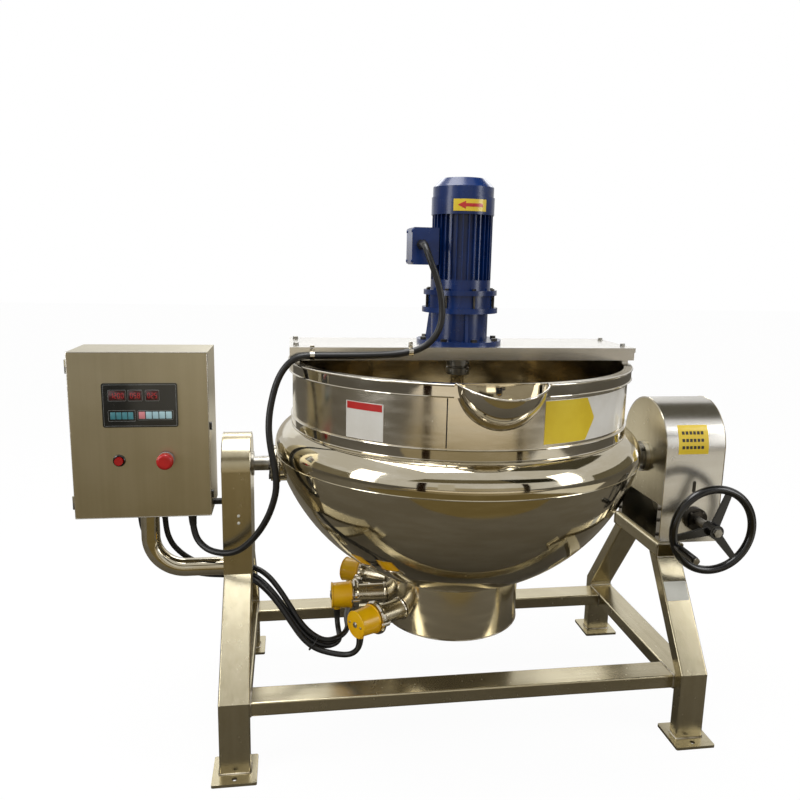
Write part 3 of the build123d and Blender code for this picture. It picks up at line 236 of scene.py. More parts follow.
# %% [markdown]
# ## Cables
# The motor's cable drops from its gland to the bridge, lies in the groove of the bridge's front,
# hangs down beside the kettle in a loop and enters the box from below. The three heater cables
# leave the yellow caps downwards, are tied together and rise behind the left head to the box. Each
# cable is a smooth curve through its route, and a tube is carried along it.

# %% Cable routes and tubes
def smooth_route(name, points):
    """Points read from a quadratic NURBS curve whose control points are the route."""
    data = bpy.data.curves.new(name + "_line", "CURVE")
    data.dimensions = "3D"
    spline = data.splines.new("NURBS")
    spline.points.add(len(points) - 1)
    for slot_, p in zip(spline.points, points):
        slot_.co = (*p, 1)
    spline.order_u = 3
    spline.use_endpoint_u = True
    data.resolution_u = 10
    ob = bpy.data.objects.new(name + "_line", data)
    bpy.context.scene.collection.objects.link(ob)
    mesh = bpy.data.meshes.new_from_object(ob)
    line = np.zeros(len(mesh.vertices) * 3)
    mesh.vertices.foreach_get("co", line)
    bpy.data.objects.remove(ob)
    bpy.data.meshes.remove(mesh)
    return line.reshape(-1, 3)


mm = lambda rows: np.asarray(rows, float) / 1000
cap_angles = np.radians([212, 180, 148])


def neck(i, drop=0.0, along=(0.0, 0.0)):
    """Point under a heater cap's cable neck, 352 mm from the axis, moved down and sideways."""
    return (352 * math.cos(cap_angles[i]) + along[0], 352 * math.sin(cap_angles[i]) + along[1], 292 - drop)


motor_route = mm([
    (-125, -72, 1388), (-125, -96, 1388), (-123, -119, 1374), (-114, -131, 1344), (-98, -136, 1304),
    (-84, -138, 1256), (-78, -139, 1204), (-86, -139, 1158), (-112, -139.5, 1122), (-152, -139.5, 1101),
    (-205, -139.5, 1092), (-262, -139.5, 1089.5), (-316, -139.5, 1088.5), (-370, -139.5, 1088),
    (-425, -139.5, 1088)])
hanging_route = mm([
    (-425, -139.5, 1088), (-455, -139.5, 1088), (-484, -140, 1077), (-508, -142, 1051), (-525, -146, 1018),
    (-537, -151, 976), (-545, -156, 932), (-547, -162, 892), (-543, -168, 850), (-535, -174, 808),
    (-528, -178, 768), (-528, -180, 728), (-538, -179, 688), (-552, -176, 651), (-574, -168, 611),
    (-603, -158, 574), (-638, -143, 543), (-680, -122, 531), (-729, -90, 534), (-764, -64, 571),
    (-764, -64, 627)])
heater_routes = [mm(r) for r in (
    [neck(0), neck(0, 24.5), neck(0, 49.5, (-12.6, 7.1)), neck(0, 63, (-36, 17)),
     (-380, -153, 229), (-424, -138, 238), (-458, -124, 262), (-490, -102, 302), (-524, -74, 346),
     (-562, -42, 382), (-604, -10, 404), (-650, 12, 408), (-696, 22, 406), (-742, 22, 410),
     (-786, 16, 424), (-824, 8, 446), (-856, 2, 478), (-878, 0, 520), (-886, 0, 574), (-886, 0, 627)],
    [neck(1), neck(1, 24.5), neck(1, 49.5, (1.5, -14.5)), neck(1, 60, (4, -41)),
     (-348, -76, 231), (-362, -106, 232), (-390, -122, 234), (-424, -116, 244), (-458, -101, 268),
     (-491, -80, 308), (-525, -53, 352), (-563, -21, 388), (-604, 10, 410), (-648, 32, 415), (-694, 42, 413),
     (-740, 42, 416), (-784, 36, 430), (-824, 28, 452), (-860, 24, 482), (-892, 22, 512), (-914, 22, 548),
     (-922, 22, 588), (-922, 22, 627)],
    [neck(2), neck(2, 24.5), neck(2, 49.5, (-2, -14.5)), neck(2, 60, (-7, -41)), (-312, 102, 233),
     (-320, 46, 242), (-322, -2, 248), (-322, -48, 254), (-334, -90, 256), (-360, -116, 254),
     (-394, -123, 252), (-428, -112, 266), (-460, -96, 292), (-490, -72, 334), (-522, -44, 378),
     (-558, -12, 414), (-600, 16, 430.5), (-648, 26, 430.5), (-694, 32, 428), (-738, 32, 434),
     (-778, 28, 452), (-812, 18, 482), (-838, 8, 520), (-850, 0, 572), (-850, 0, 627)])]


def cable(name, route, radius, length, body=None, ends=None):
    """Tube of one radius along the smooth route, with tapered sleeves where it enters a gland."""
    line = smooth_route(name, route)
    parts = [tube(line, radius, 20)]
    if ends:
        run = np.r_[0, np.cumsum(np.linalg.norm(np.diff(line, axis=0), axis=1))]
        for at_end in ends:
            s = run if at_end == 0 else run[-1] - run
            pick = np.where(s < 0.034)[0]
            order = pick if at_end == 0 else pick[::-1]
            taper = radius * (1.32 - 0.28 * s[order] / 0.034)
            parts.append(tube(line[order], taper, 20))
    ob = piece(name, body, parts)
    real = float(np.linalg.norm(np.diff(line, axis=0), axis=1).sum())
    print(name, "route", round(real, 3), "m, real length", length)
    return ob, line, length, 2 * radius


motor_cable, line, length, across = cable("motor_cable_tube", motor_route, 0.009, 0.637, "kettle", (0,))
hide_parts("motor_cable")
hanging, line, length, across = cable("hanging_cable_tube", hanging_route, 0.009, 0.867, None, (1,))
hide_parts("hanging_cable")
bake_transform(hanging)
heater_lengths = (0.889, 0.939, 1.085)
for i, route in enumerate(heater_routes):
    ob, line, length, across = cable(f"heater_cable_{i + 1}", route, 0.008, heater_lengths[i], None, (0, 1))
    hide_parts("heater_cables")
    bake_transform(ob)

# %% [markdown]
# ## Floor and light
# The floor and the world look white to the camera; the floor keeps only a trace of the shadow. The
# light is that of a studio for polished metal: large soft boxes above, at the sides and behind, and
# a world at a plain level. The metal sees a darker floor than the camera does, and cards of dark
# and pale tones that only reflections see, so much of its contrast comes from this studio.

# %% Floor, world, lamps and cards
def value_material(name):
    """Empty node material and its tree."""
    mat = bpy.data.materials.new(name)
    mat.use_nodes = True
    mat.node_tree.nodes.clear()
    return mat, mat.node_tree


def linear(colour):
    """sRGB numbers 0-255 as linear light: ((c + 0.055) / 1.055) ^ 2.4 above the toe."""
    c = np.asarray(colour, float) / 255
    low = c <= 0.04045
    return tuple(np.where(low, c / 12.92, ((c + 0.055) / 1.055) ** 2.4)) + (1.0,)


scene = bpy.context.scene
scene.view_settings.view_transform = "Standard"
world = bpy.data.worlds.new("studio")
scene.world = world
world.use_nodes = True
wt = world.node_tree
wt.nodes.clear()
world_level = 0.70
path_node = wt.nodes.new("ShaderNodeLightPath")
soft, white = wt.nodes.new("ShaderNodeBackground"), wt.nodes.new("ShaderNodeBackground")
soft.inputs["Color"].default_value = (1.0, 0.985, 0.96, 1)
soft.inputs["Strength"].default_value = world_level
white.inputs["Color"].default_value = (1, 1, 1, 1)
blend_world, out_world = wt.nodes.new("ShaderNodeMixShader"), wt.nodes.new("ShaderNodeOutputWorld")
wt.links.new(path_node.outputs["Is Camera Ray"], blend_world.inputs[0])
wt.links.new(soft.outputs[0], blend_world.inputs[1])
wt.links.new(white.outputs[0], blend_world.inputs[2])
wt.links.new(blend_world.outputs[0], out_world.inputs["Surface"])


def sheet_mesh(name, centre, ex, ey, width, height, bend=0.0, n=24):
    """Grid of points c + u ex + v ey, curved back by bend (u / w)^2 + bend (v / h)^2."""
    u, v = np.meshgrid(np.linspace(-0.5, 0.5, n), np.linspace(-0.5, 0.5, n), indexing="ij")
    ex, ey = unit(ex), unit(ey)
    ez = np.cross(ex, ey)
    p = (np.asarray(centre) + (u * width)[..., None] * ex + (v * height)[..., None] * ey
         + (bend * (u ** 2 + v ** 2))[..., None] * ez).reshape(-1, 3)
    i, j = np.meshgrid(np.arange(n - 1), np.arange(n - 1), indexing="ij")
    a = (i * n + j).ravel()
    faces = np.stack([a, a + n, a + n + 1, a + 1], -1).tolist()
    mesh = bpy.data.meshes.new(name)
    mesh.from_pydata(p.tolist(), [], faces)
    mesh.shade_smooth()
    ob = bpy.data.objects.new(name, mesh)
    scene.collection.objects.link(ob)
    return ob


floor_white_share = 0.96
floor_seen, floor_reflected = (0.95, 0.95, 0.95, 1), (0.10, 0.088, 0.066, 1)
floor = sheet_mesh("floor", (0, 0, 0), (1, 0, 0), (0, 1, 0), 40, 40)
mat, tree = value_material("floor_pale")
bsdf = tree.nodes.new("ShaderNodeBsdfPrincipled")
bsdf.inputs["Roughness"].default_value = 0.85
glow, mix_floor = tree.nodes.new("ShaderNodeEmission"), tree.nodes.new("ShaderNodeMixShader")
floor_path, floor_out = tree.nodes.new("ShaderNodeLightPath"), tree.nodes.new("ShaderNodeOutputMaterial")
glow.inputs["Color"].default_value = (1, 1, 1, 1)
glow.inputs["Strength"].default_value = 1.0
share = tree.nodes.new("ShaderNodeMath")
share.operation = "MULTIPLY"
share.inputs[1].default_value = floor_white_share
floor_tone = tree.nodes.new("ShaderNodeMix")
floor_tone.data_type = "RGBA"
floor_tone.inputs[6].default_value = floor_reflected
floor_tone.inputs[7].default_value = floor_seen
tree.links.new(floor_path.outputs["Is Camera Ray"], floor_tone.inputs[0])
tree.links.new(floor_tone.outputs[2], bsdf.inputs["Base Color"])
tree.links.new(floor_path.outputs["Is Camera Ray"], share.inputs[0])
tree.links.new(share.outputs[0], mix_floor.inputs[0])
tree.links.new(bsdf.outputs[0], mix_floor.inputs[1])
tree.links.new(glow.outputs[0], mix_floor.inputs[2])
tree.links.new(mix_floor.outputs[0], floor_out.inputs["Surface"])
floor.data.materials.append(mat)


def lamp(name, place, aim, width, height, power):
    """Soft box: rectangular area lamp at a place, pointing at a point."""
    data = bpy.data.lights.new(name, "AREA")
    data.shape, data.size, data.size_y, data.energy = "RECTANGLE", width, height, power
    ob = bpy.data.objects.new(name, data)
    scene.collection.objects.link(ob)
    ob.location = place
    ob.rotation_euler = (Vector(aim) - Vector(place)).to_track_quat("-Z", "Y").to_euler()
    ob.visible_camera = False
    return ob


lamp("key_above", (-0.6, -0.1, 3.8), (0, 0, 0.8), 2.6, 1.4, 62)
lamp("fill_left", (-3.2, -1.6, 1.9), (0, 0, 0.8), 1.0, 2.4, 30)
lamp("fill_right", (3.0, -2.2, 2.0), (0, 0, 0.8), 1.0, 2.4, 30)
lamp("back_above", (0.4, 2.6, 3.0), (0, 0, 0.9), 3.0, 1.0, 34)


def card(name, centre, ex, ey, width, height, tone):
    """Card that only reflections see, of one plain tone."""
    ob = sheet_mesh(name, centre, ex, ey, width, height)
    m, t = value_material(name)
    e, o = t.nodes.new("ShaderNodeEmission"), t.nodes.new("ShaderNodeOutputMaterial")
    e.inputs["Color"].default_value = linear(tone)
    t.links.new(e.outputs[0], o.inputs["Surface"])
    ob.data.materials.append(m)
    ob.visible_camera = ob.visible_diffuse = ob.visible_shadow = False
    ob.visible_transmission = ob.visible_volume_scatter = False
    return ob


card("card_front", (0.0, -8.6, 1.1), (1, 0, 0), (0, 0, 1), 9.0, 1.7, (176, 166, 144))
card("card_floor_near", (-0.2, -1.85, 0.003), (1, 0, 0), (0, 1, 0), 3.4, 1.7, (116, 102, 67))
card("card_floor_right", (2.4, -1.9, 0.003), (1, 0, 0), (0, 1, 0), 1.7, 2.6, (226, 220, 205))
card("card_floor_mid", (-0.4, -3.6, 0.003), (1, 0, 0), (0, 1, 0), 5.0, 1.7, (152, 138, 107))
card("card_floor_far", (0.0, -6.5, 0.003), (1, 0, 0), (0, 1, 0), 8.0, 4.0, (236, 224, 202))
card("card_left", (-5.4, 0.6, 1.3), (0, -1, 0), (0, 0, 1), 4.6, 1.7, (126, 118, 98))
card("card_right", (5.4, 0.2, 1.2), (0, 1, 0), (0, 0, 1), 4.2, 1.5, (110, 104, 86))
card("card_rear", (0.0, 5.6, 0.72), (-1, 0, 0), (0, 0, 1), 6.0, 1.3, (186, 180, 168))
card("card_rear_white", (0.0, 5.4, 2.5), (-1, 0, 0), (0, 0, 1), 7.0, 1.9, (255, 255, 255))
card("card_high_left", (-0.6, -3.4, 3.0), (1, 0, 0), (0, -0.5, 0.866), 3.4, 2.2, (112, 104, 82))
card("card_high_right", (3.0, -3.4, 3.0), (1, 0, 0), (0, -0.5, 0.866), 3.8, 2.4, (42, 40, 30))
card("card_floor_rear", (-0.6, 3.7, 0.003), (1, 0, 0), (0, 1, 0), 3.2, 3.0, (232, 228, 218))
card("card_top_right", (1.7, 0.3, 3.0), (1, 0, 0), (0, -1, 0), 2.2, 2.4, (76, 72, 58))
card("strip_left", (-1.65, -2.9, 1.0), (1, 0, 0), (0, 0, 1), 0.34, 1.9, (34, 22, 12))
card("strip_right", (1.5, -3.1, 1.0), (1, 0, 0), (0, 0, 1), 0.25, 1.9, (40, 32, 20))
card("strip_pale", (-0.9, -3.0, 1.25), (1, 0, 0), (0, 0, 1), 0.5, 1.1, (205, 200, 188))

# %% [markdown]
# ## Finishes
# A finish is a formula on the object's own coordinates. The class below wraps a shader socket, so
# that the formula reads as arithmetic, and builds the nodes behind it.

# %% Shader arithmetic
class Wire:
    """A shader socket with + - * / and powers; reflected forms make 1 - mask work."""

    def __init__(self, tree, socket):
        self.tree, self.socket = tree, socket

    def node(self, kind, settings=None, inputs=None, out=0):
        """Any other node: its type, its settings first, then its sockets' values or links."""
        made_node = self.tree.nodes.new(kind)
        for key, value in (settings or {}).items():
            setattr(made_node, key, value)
        for key, value in (inputs or {}).items():
            if isinstance(value, Wire):
                self.tree.links.new(value.socket, made_node.inputs[key])
            else:
                made_node.inputs[key].default_value = value
        return Wire(self.tree, made_node.outputs[out])

    def math(self, operation, *others):
        """One Math node on values, or one Vector Math node if this socket is a vector."""
        if self.socket.type == "VECTOR":
            fill = lambda o: o if isinstance(o, Wire) or hasattr(o, "__len__") else (o, o, o)
            ins = {i: w for i, w in enumerate([self] + [fill(o) for o in others])}
            return self.node("ShaderNodeVectorMath", {"operation": operation}, ins)
        ins = {i: w for i, w in enumerate((self,) + others)}
        return self.node("ShaderNodeMath", {"operation": operation}, ins)

    def reversed_math(self, operation, other):
        """other (operation) self, for reflected operators."""
        if self.socket.type == "VECTOR":
            return self.node("ShaderNodeVectorMath", {"operation": operation}, {0: (other,) * 3, 1: self})
        return self.node("ShaderNodeMath", {"operation": operation}, {0: other, 1: self})

    def __add__(self, other): return self.math("ADD", other)
    def __sub__(self, other): return self.math("SUBTRACT", other)
    def __mul__(self, other): return self.math("MULTIPLY", other)
    def __truediv__(self, other): return self.math("DIVIDE", other)
    def __pow__(self, other): return self.math("POWER", other)
    def __radd__(self, other): return self.math("ADD", other)
    def __rmul__(self, other): return self.math("MULTIPLY", other)
    def __rsub__(self, other): return self.reversed_math("SUBTRACT", other)
    def __rtruediv__(self, other): return self.reversed_math("DIVIDE", other)

    def ramp(self, low, high, to_low=0.0, to_high=1.0):
        """Smooth step of this value from low..high to to_low..to_high."""
        ins = {0: self, 1: low, 2: high, 3: to_low, 4: to_high}
        return self.node("ShaderNodeMapRange", {"interpolation_type": "SMOOTHSTEP"}, ins)

    def mix(self, first, second):
        """Colour: first where this value is 0, second where it is 1."""
        return self.node("ShaderNodeMix", {"data_type": "RGBA"}, {0: self, 6: first, 7: second}, 2)

    def noise(self, scale, detail=3.0, rough=0.5):
        """Noise of these coordinates, from 0 to 1."""
        ins = {"Vector": self, "Scale": scale, "Detail": detail, "Roughness": rough}
        return self.node("ShaderNodeTexNoise", None, ins)


finishes = {}


def finish_of(name, formula):
    """Material from a formula that returns the Principled shader's inputs."""
    mat, tree = value_material(name)
    coords = tree.nodes.new("ShaderNodeTexCoord")
    p = Wire(tree, coords.outputs["Object"])
    shader = tree.nodes.new("ShaderNodeBsdfPrincipled")
    out = tree.nodes.new("ShaderNodeOutputMaterial")
    for key, value in formula(p).items():
        if key == "Bump":
            height, strength, distance = value
            value = p.node("ShaderNodeBump", None,
                           {"Height": height, "Strength": strength, "Distance": distance})
            key = "Normal"
        if isinstance(value, Wire):
            tree.links.new(value.socket, shader.inputs[key])
        else:
            shader.inputs[key].default_value = value
    tree.links.new(shader.outputs[0], out.inputs["Surface"])
    finishes[name] = mat
    return mat


def brushed(pale, dark, along, rough=0.25):
    """Brushed sheet: fine streaks along one direction, faint smears and handling marks."""
    fine = tuple(5.0 if a else 900.0 for a in along)
    wide = tuple(1.5 if a else 60.0 for a in along)

    def formula(p):
        streak = (p * fine).noise(1.0, 2.0)
        band = (p * wide).noise(1.0, 3.0)
        smear = p.noise(7.0, 5.0, 0.6)
        marks = p.noise(55.0, 2.0).ramp(0.62, 0.75)
        tone = (band * 0.45 + smear * 0.55).ramp(0.3, 0.7)
        return {"Base Color": tone.mix(linear(dark), linear(pale)), "Metallic": 1.0,
                "Roughness": streak * 0.04 + smear * 0.06 + marks * 0.03 + (rough - 0.05),
                "Bump": (streak, 0.03, 0.0001)}
    return formula


def polished(pale, dark, rough=0.05):
    """Mirror sheet: almost smooth, with soft polishing waves, wipe marks and a warm tint."""
    def formula(p):
        wave = p.noise(5.5, 2.0)
        wipe = (p * (3.0, 3.0, 14.0)).noise(3.0, 4.0, 0.6)
        spots = p.noise(160.0, 1.0).ramp(0.66, 0.8)
        tone = wipe.ramp(0.35, 0.7)
        return {"Base Color": tone.mix(linear(dark), linear(pale)), "Metallic": 1.0,
                "Roughness": wipe.ramp(0.4, 0.75, 0.0, 0.07) + spots * 0.06 + rough,
                "Bump": (wave, 0.10, 0.0030)}
    return formula


def machined(pale, dark, rough=0.3):
    """Turned or milled steel with a thin film of oil and fine tool marks."""
    def formula(p):
        mark = (p * 420.0).noise(1.0, 1.0)
        film = p.noise(26.0, 4.0)
        return {"Base Color": film.ramp(0.35, 0.65).mix(linear(dark), linear(pale)), "Metallic": 1.0,
                "Roughness": film * 0.18 + mark * 0.08 + (rough - 0.1), "Bump": (mark, 0.15, 0.0004)}
    return formula


def coated(colour, shade, rough=0.3, grain=0.0002, coat=0.0, metal=0.0, scale=90.0):
    """Paint, plastic or rubber: one colour that drifts slightly, with orange peel or grain."""
    def formula(p):
        drift = p.noise(9.0, 4.0, 0.55)
        peel = p.noise(scale, 2.0)
        dust = p.noise(30.0, 5.0, 0.65).ramp(0.55, 0.8)
        return {"Base Color": drift.ramp(0.3, 0.7).mix(linear(shade), linear(colour)), "Metallic": metal,
                "Roughness": drift * 0.10 + dust * 0.10 + (rough - 0.05), "Coat Weight": coat,
                "Coat Roughness": 0.08, "Bump": (peel, 0.25, grain)}
    return formula


X, Y, Z = (1, 0, 0), (0, 1, 0), (0, 0, 1)
steel_pale, steel_dark = (206, 197, 170), (192, 182, 153)
for way, along in (("x", X), ("y", Y), ("z", Z)):
    finish_of("brushed_" + way, brushed(steel_pale, steel_dark, along))
finish_of("box_steel", brushed((196, 188, 164), (186, 178, 152), Z, 0.34))
finish_of("satin", brushed((232, 230, 225), (224, 221, 214), X, 0.24))
finish_of("mirror", polished((222, 217, 206), (212, 206, 192)))
finish_of("wall_sheet", polished((234, 228, 214), (224, 216, 198), 0.16))
finish_of("pot_inside", polished((198, 188, 164), (184, 173, 148), 0.10))
finish_of("mirror_low", polished((214, 207, 188), (202, 193, 170), 0.06))
finish_of("drum", polished((232, 224, 202), (222, 213, 190), 0.13))
finish_of("pipe", polished((206, 198, 178), (190, 181, 158), 0.22))
finish_of("weld", machined((206, 200, 186), (128, 118, 98), 0.34))
finish_of("machined", machined((186, 184, 178), (136, 132, 122)))
finish_of("dark_steel", machined((92, 88, 82), (52, 50, 46), 0.4))
finish_of("black_gloss", coated((6, 6, 7), (3, 3, 4), 0.24, 0.0001, 0.45))
finish_of("black_matt", coated((26, 26, 27), (14, 14, 15), 0.5, 0.0003))
finish_of("rubber", coated((24, 24, 25), (12, 12, 13), 0.42, 0.0002, 0.15, 0.0, 240.0))
finish_of("blue", coated((1, 44, 106), (0, 30, 80), 0.25, 0.0003, 0.08, 0.0, 70.0))
finish_of("yellow", coated((252, 200, 0), (244, 180, 0), 0.3, 0.0002, 0.15))
finish_of("red", coated((196, 22, 26), (150, 10, 16), 0.3, 0.0001, 0.4))
finish_of("white_plastic", coated((232, 230, 222), (206, 204, 194), 0.45))
finish_of("grey_plastic", coated((150, 152, 150), (120, 122, 120), 0.45))
finish_of("panel", coated((26, 30, 31), (14, 17, 18), 0.25, 0.00005, 0.6))
finish_of("display", coated((70, 8, 12), (44, 4, 8), 0.2, 0.00005, 0.8))
finish_of("lit", lambda p: {"Base Color": linear((150, 20, 24)), "Roughness": 0.4,
                            "Emission Color": p.noise(40.0).mix(linear((210, 30, 34)), linear((236, 60, 60))),
                            "Emission Strength": 0.35})
finish_of("teal_key", coated((74, 142, 150), (50, 112, 122), 0.4, 0.0001, 0.2))
finish_of("pink_key", coated((214, 138, 142), (190, 110, 116), 0.4, 0.0001, 0.2))
finish_of("pale_key", coated((176, 206, 212), (150, 184, 192), 0.4, 0.0001, 0.2))
finish_of("label_yellow", coated((236, 208, 46), (222, 190, 30), 0.3, 0.00005, 0.5))
finish_of("label_white", coated((236, 234, 228), (222, 219, 210), 0.3, 0.00005, 0.5))
finish_of("bare_plate", coated((216, 216, 208), (202, 202, 193), 0.38, 0.0001, 0.2))
finish_of("label_red", coated((206, 40, 34), (184, 26, 24), 0.3, 0.00005, 0.5))
finish_of("ink", coated((58, 52, 34), (40, 36, 22), 0.45, 0.00005))

FINISH = dict(
    left_legs="brushed_z", right_legs="brushed_z", side_beams="brushed_y", cross_beams="brushed_x",
    tower_rail="brushed_y", foot_plates="brushed_x", left_head="brushed_z", gear_cover="satin",
    tower_floor="brushed_y", tower_side_plate="brushed_z", trunnion_bearings="machined",
    worm_bearings="dark_steel", worm_wheel="machined", worm_shaft="machined", chain_hook="machined",
    box_body="box_steel", box_door="box_steel", box_arm="mirror_low", stay_bar="black_matt",
    box_glands="black_matt", box_hinges="machined", door_latches="black_gloss", switchgear="grey_plastic",
    controller="panel", power_button="red", emergency_stop="red", handwheel="black_gloss",
    handwheel_grip="black_gloss", grip_pin="machined", hub_nut="machined", inner_pot="pot_inside",
    wall_casing="wall_sheet", wall_bands="mirror", jacket="mirror_low", spout="mirror", base_drum="drum",
    trunnion_pads="mirror_low", left_trunnion="machined", right_trunnion="machined",
    trunnion_bolts="dark_steel", heater_ports="pipe", heater_flanges="mirror", heater_caps="yellow",
    heater_elements="machined", bridge="satin", reducer_housing="blue", ring_gear_case="blue",
    motor_adapter="blue", gearmotor_bolts="dark_steel", motor_body="blue", fan_cowl="blue",
    terminal_box="blue", motor_gland="black_matt", stirrer_shaft="mirror", stirrer_anchor="mirror",
    scrapers="white_plastic", motor_cable="rubber", hanging_cable="rubber", heater_cables="rubber")


def give(ob, finish):
    """One finish for every face of a piece."""
    ob.data.materials.clear()
    ob.data.materials.append(finishes[finish])
    return ob


for name, ob in nodes.items():
    give(ob, FINISH[name])
for ob in list(scene.objects):
    if ob.name.startswith(("motor_cable_tube", "hanging_cable_tube", "heater_cable_")) and ob.type == "MESH":
        give(ob, "rubber")
print("finishes", len(finishes))

# %% [markdown]
# ## Kettle: sheet edges, seams and welds
# The rim is folded over a bead, the band under it ends in a smaller one, and the spout's lip is
# rolled outwards so that it doesn't cut or drip. The jacket is two pressings joined by a ground weld
# round its widest part, and the base drum and the trunnion pads are welded on with fillet beads.

# %% Beads and welds on the kettle
def arc_path(radius, z, from_deg, to_deg, n=241):
    """Arc about the Z axis: (r cos a, r sin a, z)."""
    a = np.radians(np.linspace(from_deg, to_deg, n))
    return np.stack([radius * np.cos(a), radius * np.sin(a), np.full(n, z)], -1)


gap = 13.6
rim = [tube(arc_path(0.4912, 1.0632, -90 + gap, 270 - gap), 0.0030, 10),
       tube(arc_path(0.4916, 1.0352, -90 + gap, 270 - gap), 0.0017, 8)]
for z in (0.8815, 0.9068):
    band_bead = lathe(bead_profile(0.4864, z, 0.0015, 8), (0, 0, 0), n=160, closed=True)
    rim.append(rings(band_bead[0].reshape(8, 160, 3), True))
give(piece("rim_and_band_beads", "kettle", rim), "mirror")


spout_top, joint_radius, casing_inside = 1.066, 0.109, 0.4815
lip_half_width, lip_back, lip_reach, lip_dip = 0.110, -0.470, 0.094, 0.024


def beak(t, s, grow=0.0):
    """Spout sheet: for each t round the half turn a curve, s from 0 at the joint to 1 at the lip.

    The joint lies on the casing, x = r cos t, z = top - r sin t; the lip runs out as an ellipse and
    dips in the middle; the sheet between them is a quadratic with its middle pushed outwards.
    """
    t, s = t[:, None], s[None]
    r = joint_radius + 0 * s
    jx, jz = r * np.cos(t), spout_top - r * np.sin(t)
    jy = -np.sqrt(casing_inside ** 2 - jx ** 2)
    lx, ly = lip_half_width * np.cos(t), lip_back - lip_reach * np.sin(t)
    lz = spout_top - lip_dip * np.sin(t) ** 2
    push = 0.019 * np.sin(t) ** 0.8
    mx, my, mz = (jx + lx) / 2, (jy + ly) / 2 - push, (jz + lz) / 2 - push * 0.9
    blend_ = lambda a, b, c: (1 - s) ** 2 * a + 2 * s * (1 - s) * b + s ** 2 * c
    points = np.stack([blend_(jx, mx, lx), blend_(jy, my, ly), blend_(jz, mz, lz)], -1)
    centre = np.array([0, -0.460, 1.075])
    out = points - centre
    return points + out / np.linalg.norm(out, axis=-1, keepdims=True) * grow


half_turn, rise = np.linspace(0.02, math.pi - 0.02, 81), np.linspace(0, 1, 15)
sheet_loops = np.concatenate([beak(half_turn, rise), beak(half_turn, rise[::-1], -0.0016)], 1)
lip = beak(half_turn, rise)[:, -1]
joint = beak(half_turn, rise)[:, 0] + np.array([0, -0.0006, 0])
spout = give(piece("spout_beak", "kettle", [rings(sheet_loops[:, ::-1])]), "mirror")
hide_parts("spout")
give(piece("spout_lip", "kettle", [tube(lip, 0.0026, 10)]), "mirror")
give(piece("spout_weld", "kettle",
           [tube(joint, 0.0022, 8, ripple=0.12, waves=75)]), "weld")

seam_angle, seam_radius = math.radians(-105.4), 0.4822
height = np.linspace(0.9115, 1.0310, 60)
seam = np.stack([seam_radius * np.cos(seam_angle + 0 * height),
                 seam_radius * np.sin(seam_angle + 0 * height), height], -1)
give(piece("casing_seam", "kettle",
           [tube(seam, 0.0016, 8, False, 0.2, 24)]), "dark_steel")

ring_of = lambda r, z, b: lathe(bead_profile(r, z, b, 8), (0, 0, 0), n=192, closed=True)
give(piece("jacket_seam", "kettle", [ring_of(0.5314, 0.800, 0.0019)]), "mirror_low")
drum_weld = np.vstack([arc_path(0.2055, 0.4255, 0, 360, 721)[:-1]])
give(piece("drum_welds", "kettle",
           [tube(drum_weld, 0.0032, 8, True, 0.16, 210), ring_of(0.2052, 0.2745, 0.0016)]), "weld")
pads = []
for side in (-1, 1):
    round_pad = np.arange(180) * TAU / 180
    pads.append(tube(np.stack([np.full(180, side * 0.5225), 0.0535 * np.cos(round_pad),
                               0.756 + 0.0535 * np.sin(round_pad)], -1), 0.0034, 8, True, 0.15, 60))
give(piece("trunnion_pad_welds", "kettle", pads), "weld")
print("kettle beads and welds: pieces so far", len(made))

# %% [markdown]
# ## Plates on the kettle, motor and tower
# The real machine carries a warning plate and a maker's sticker on the casing, an arrow plate on the
# fan cowl for the motor's direction, a notice on the tower and a rating plate on one leg. They are
# bent to the surface that they lie on. Here they are bare, but for the plain arrow.

# %% Curved and flat plates
def curved_plate(radius, degrees, z0, z1, thick=0.0005):
    """Thin plate round the Z axis: one loop for each angle, between the heights z0 and z1."""
    a = np.radians(np.asarray(degrees, float))
    z0, z1 = np.broadcast_to(z0, a.shape), np.broadcast_to(z1, a.shape)
    r = np.array([radius - 0.0004, radius + thick, radius + thick, radius - 0.0004])
    loops = np.stack([np.cos(a)[:, None] * r, np.sin(a)[:, None] * r, np.stack([z0, z0, z1, z1], 1)], -1)
    return rings(loops[:, ::-1])


span = np.linspace
give(piece("warning_plate", "kettle",
           [curved_plate(0.482, span(-137, -124, 16), 0.912, 1.004)]), "label_white")
give(piece("warning_plate_head", "kettle",
           [curved_plate(0.4824, span(-136.6, -124.4, 16), 0.985, 1.0025)]), "label_red")
give(piece("sticker_white", "kettle",
           [curved_plate(0.482, span(-77, -35, 40), 0.916, 1.024)]), "label_white")
point = np.r_[span(-77, -61.5, 16), span(-61, -58, 7)]
taper = np.clip((point + 61.5) / 3.5, 0, 1) * 0.050
give(piece("sticker_yellow", "kettle",
           [curved_plate(0.4824, point, 0.917 + taper, 1.023 - taper)]), "label_yellow")
give(piece("arrow_plate", "kettle", [curved_plate(0.089, span(-120, -58, 24), 1.480, 1.512)]),
     "label_yellow")
angle = np.r_[span(-112, -98, 9), -97.9, span(-97, -66, 16)]
half = np.r_[span(0.0004, 0.0105, 9), 0.0045, np.full(16, 0.0045)]
give(piece("arrow_on_plate", "kettle",
           [curved_plate(0.0896, angle, 1.496 - half, 1.496 + half, 0.0003)]), "label_red")


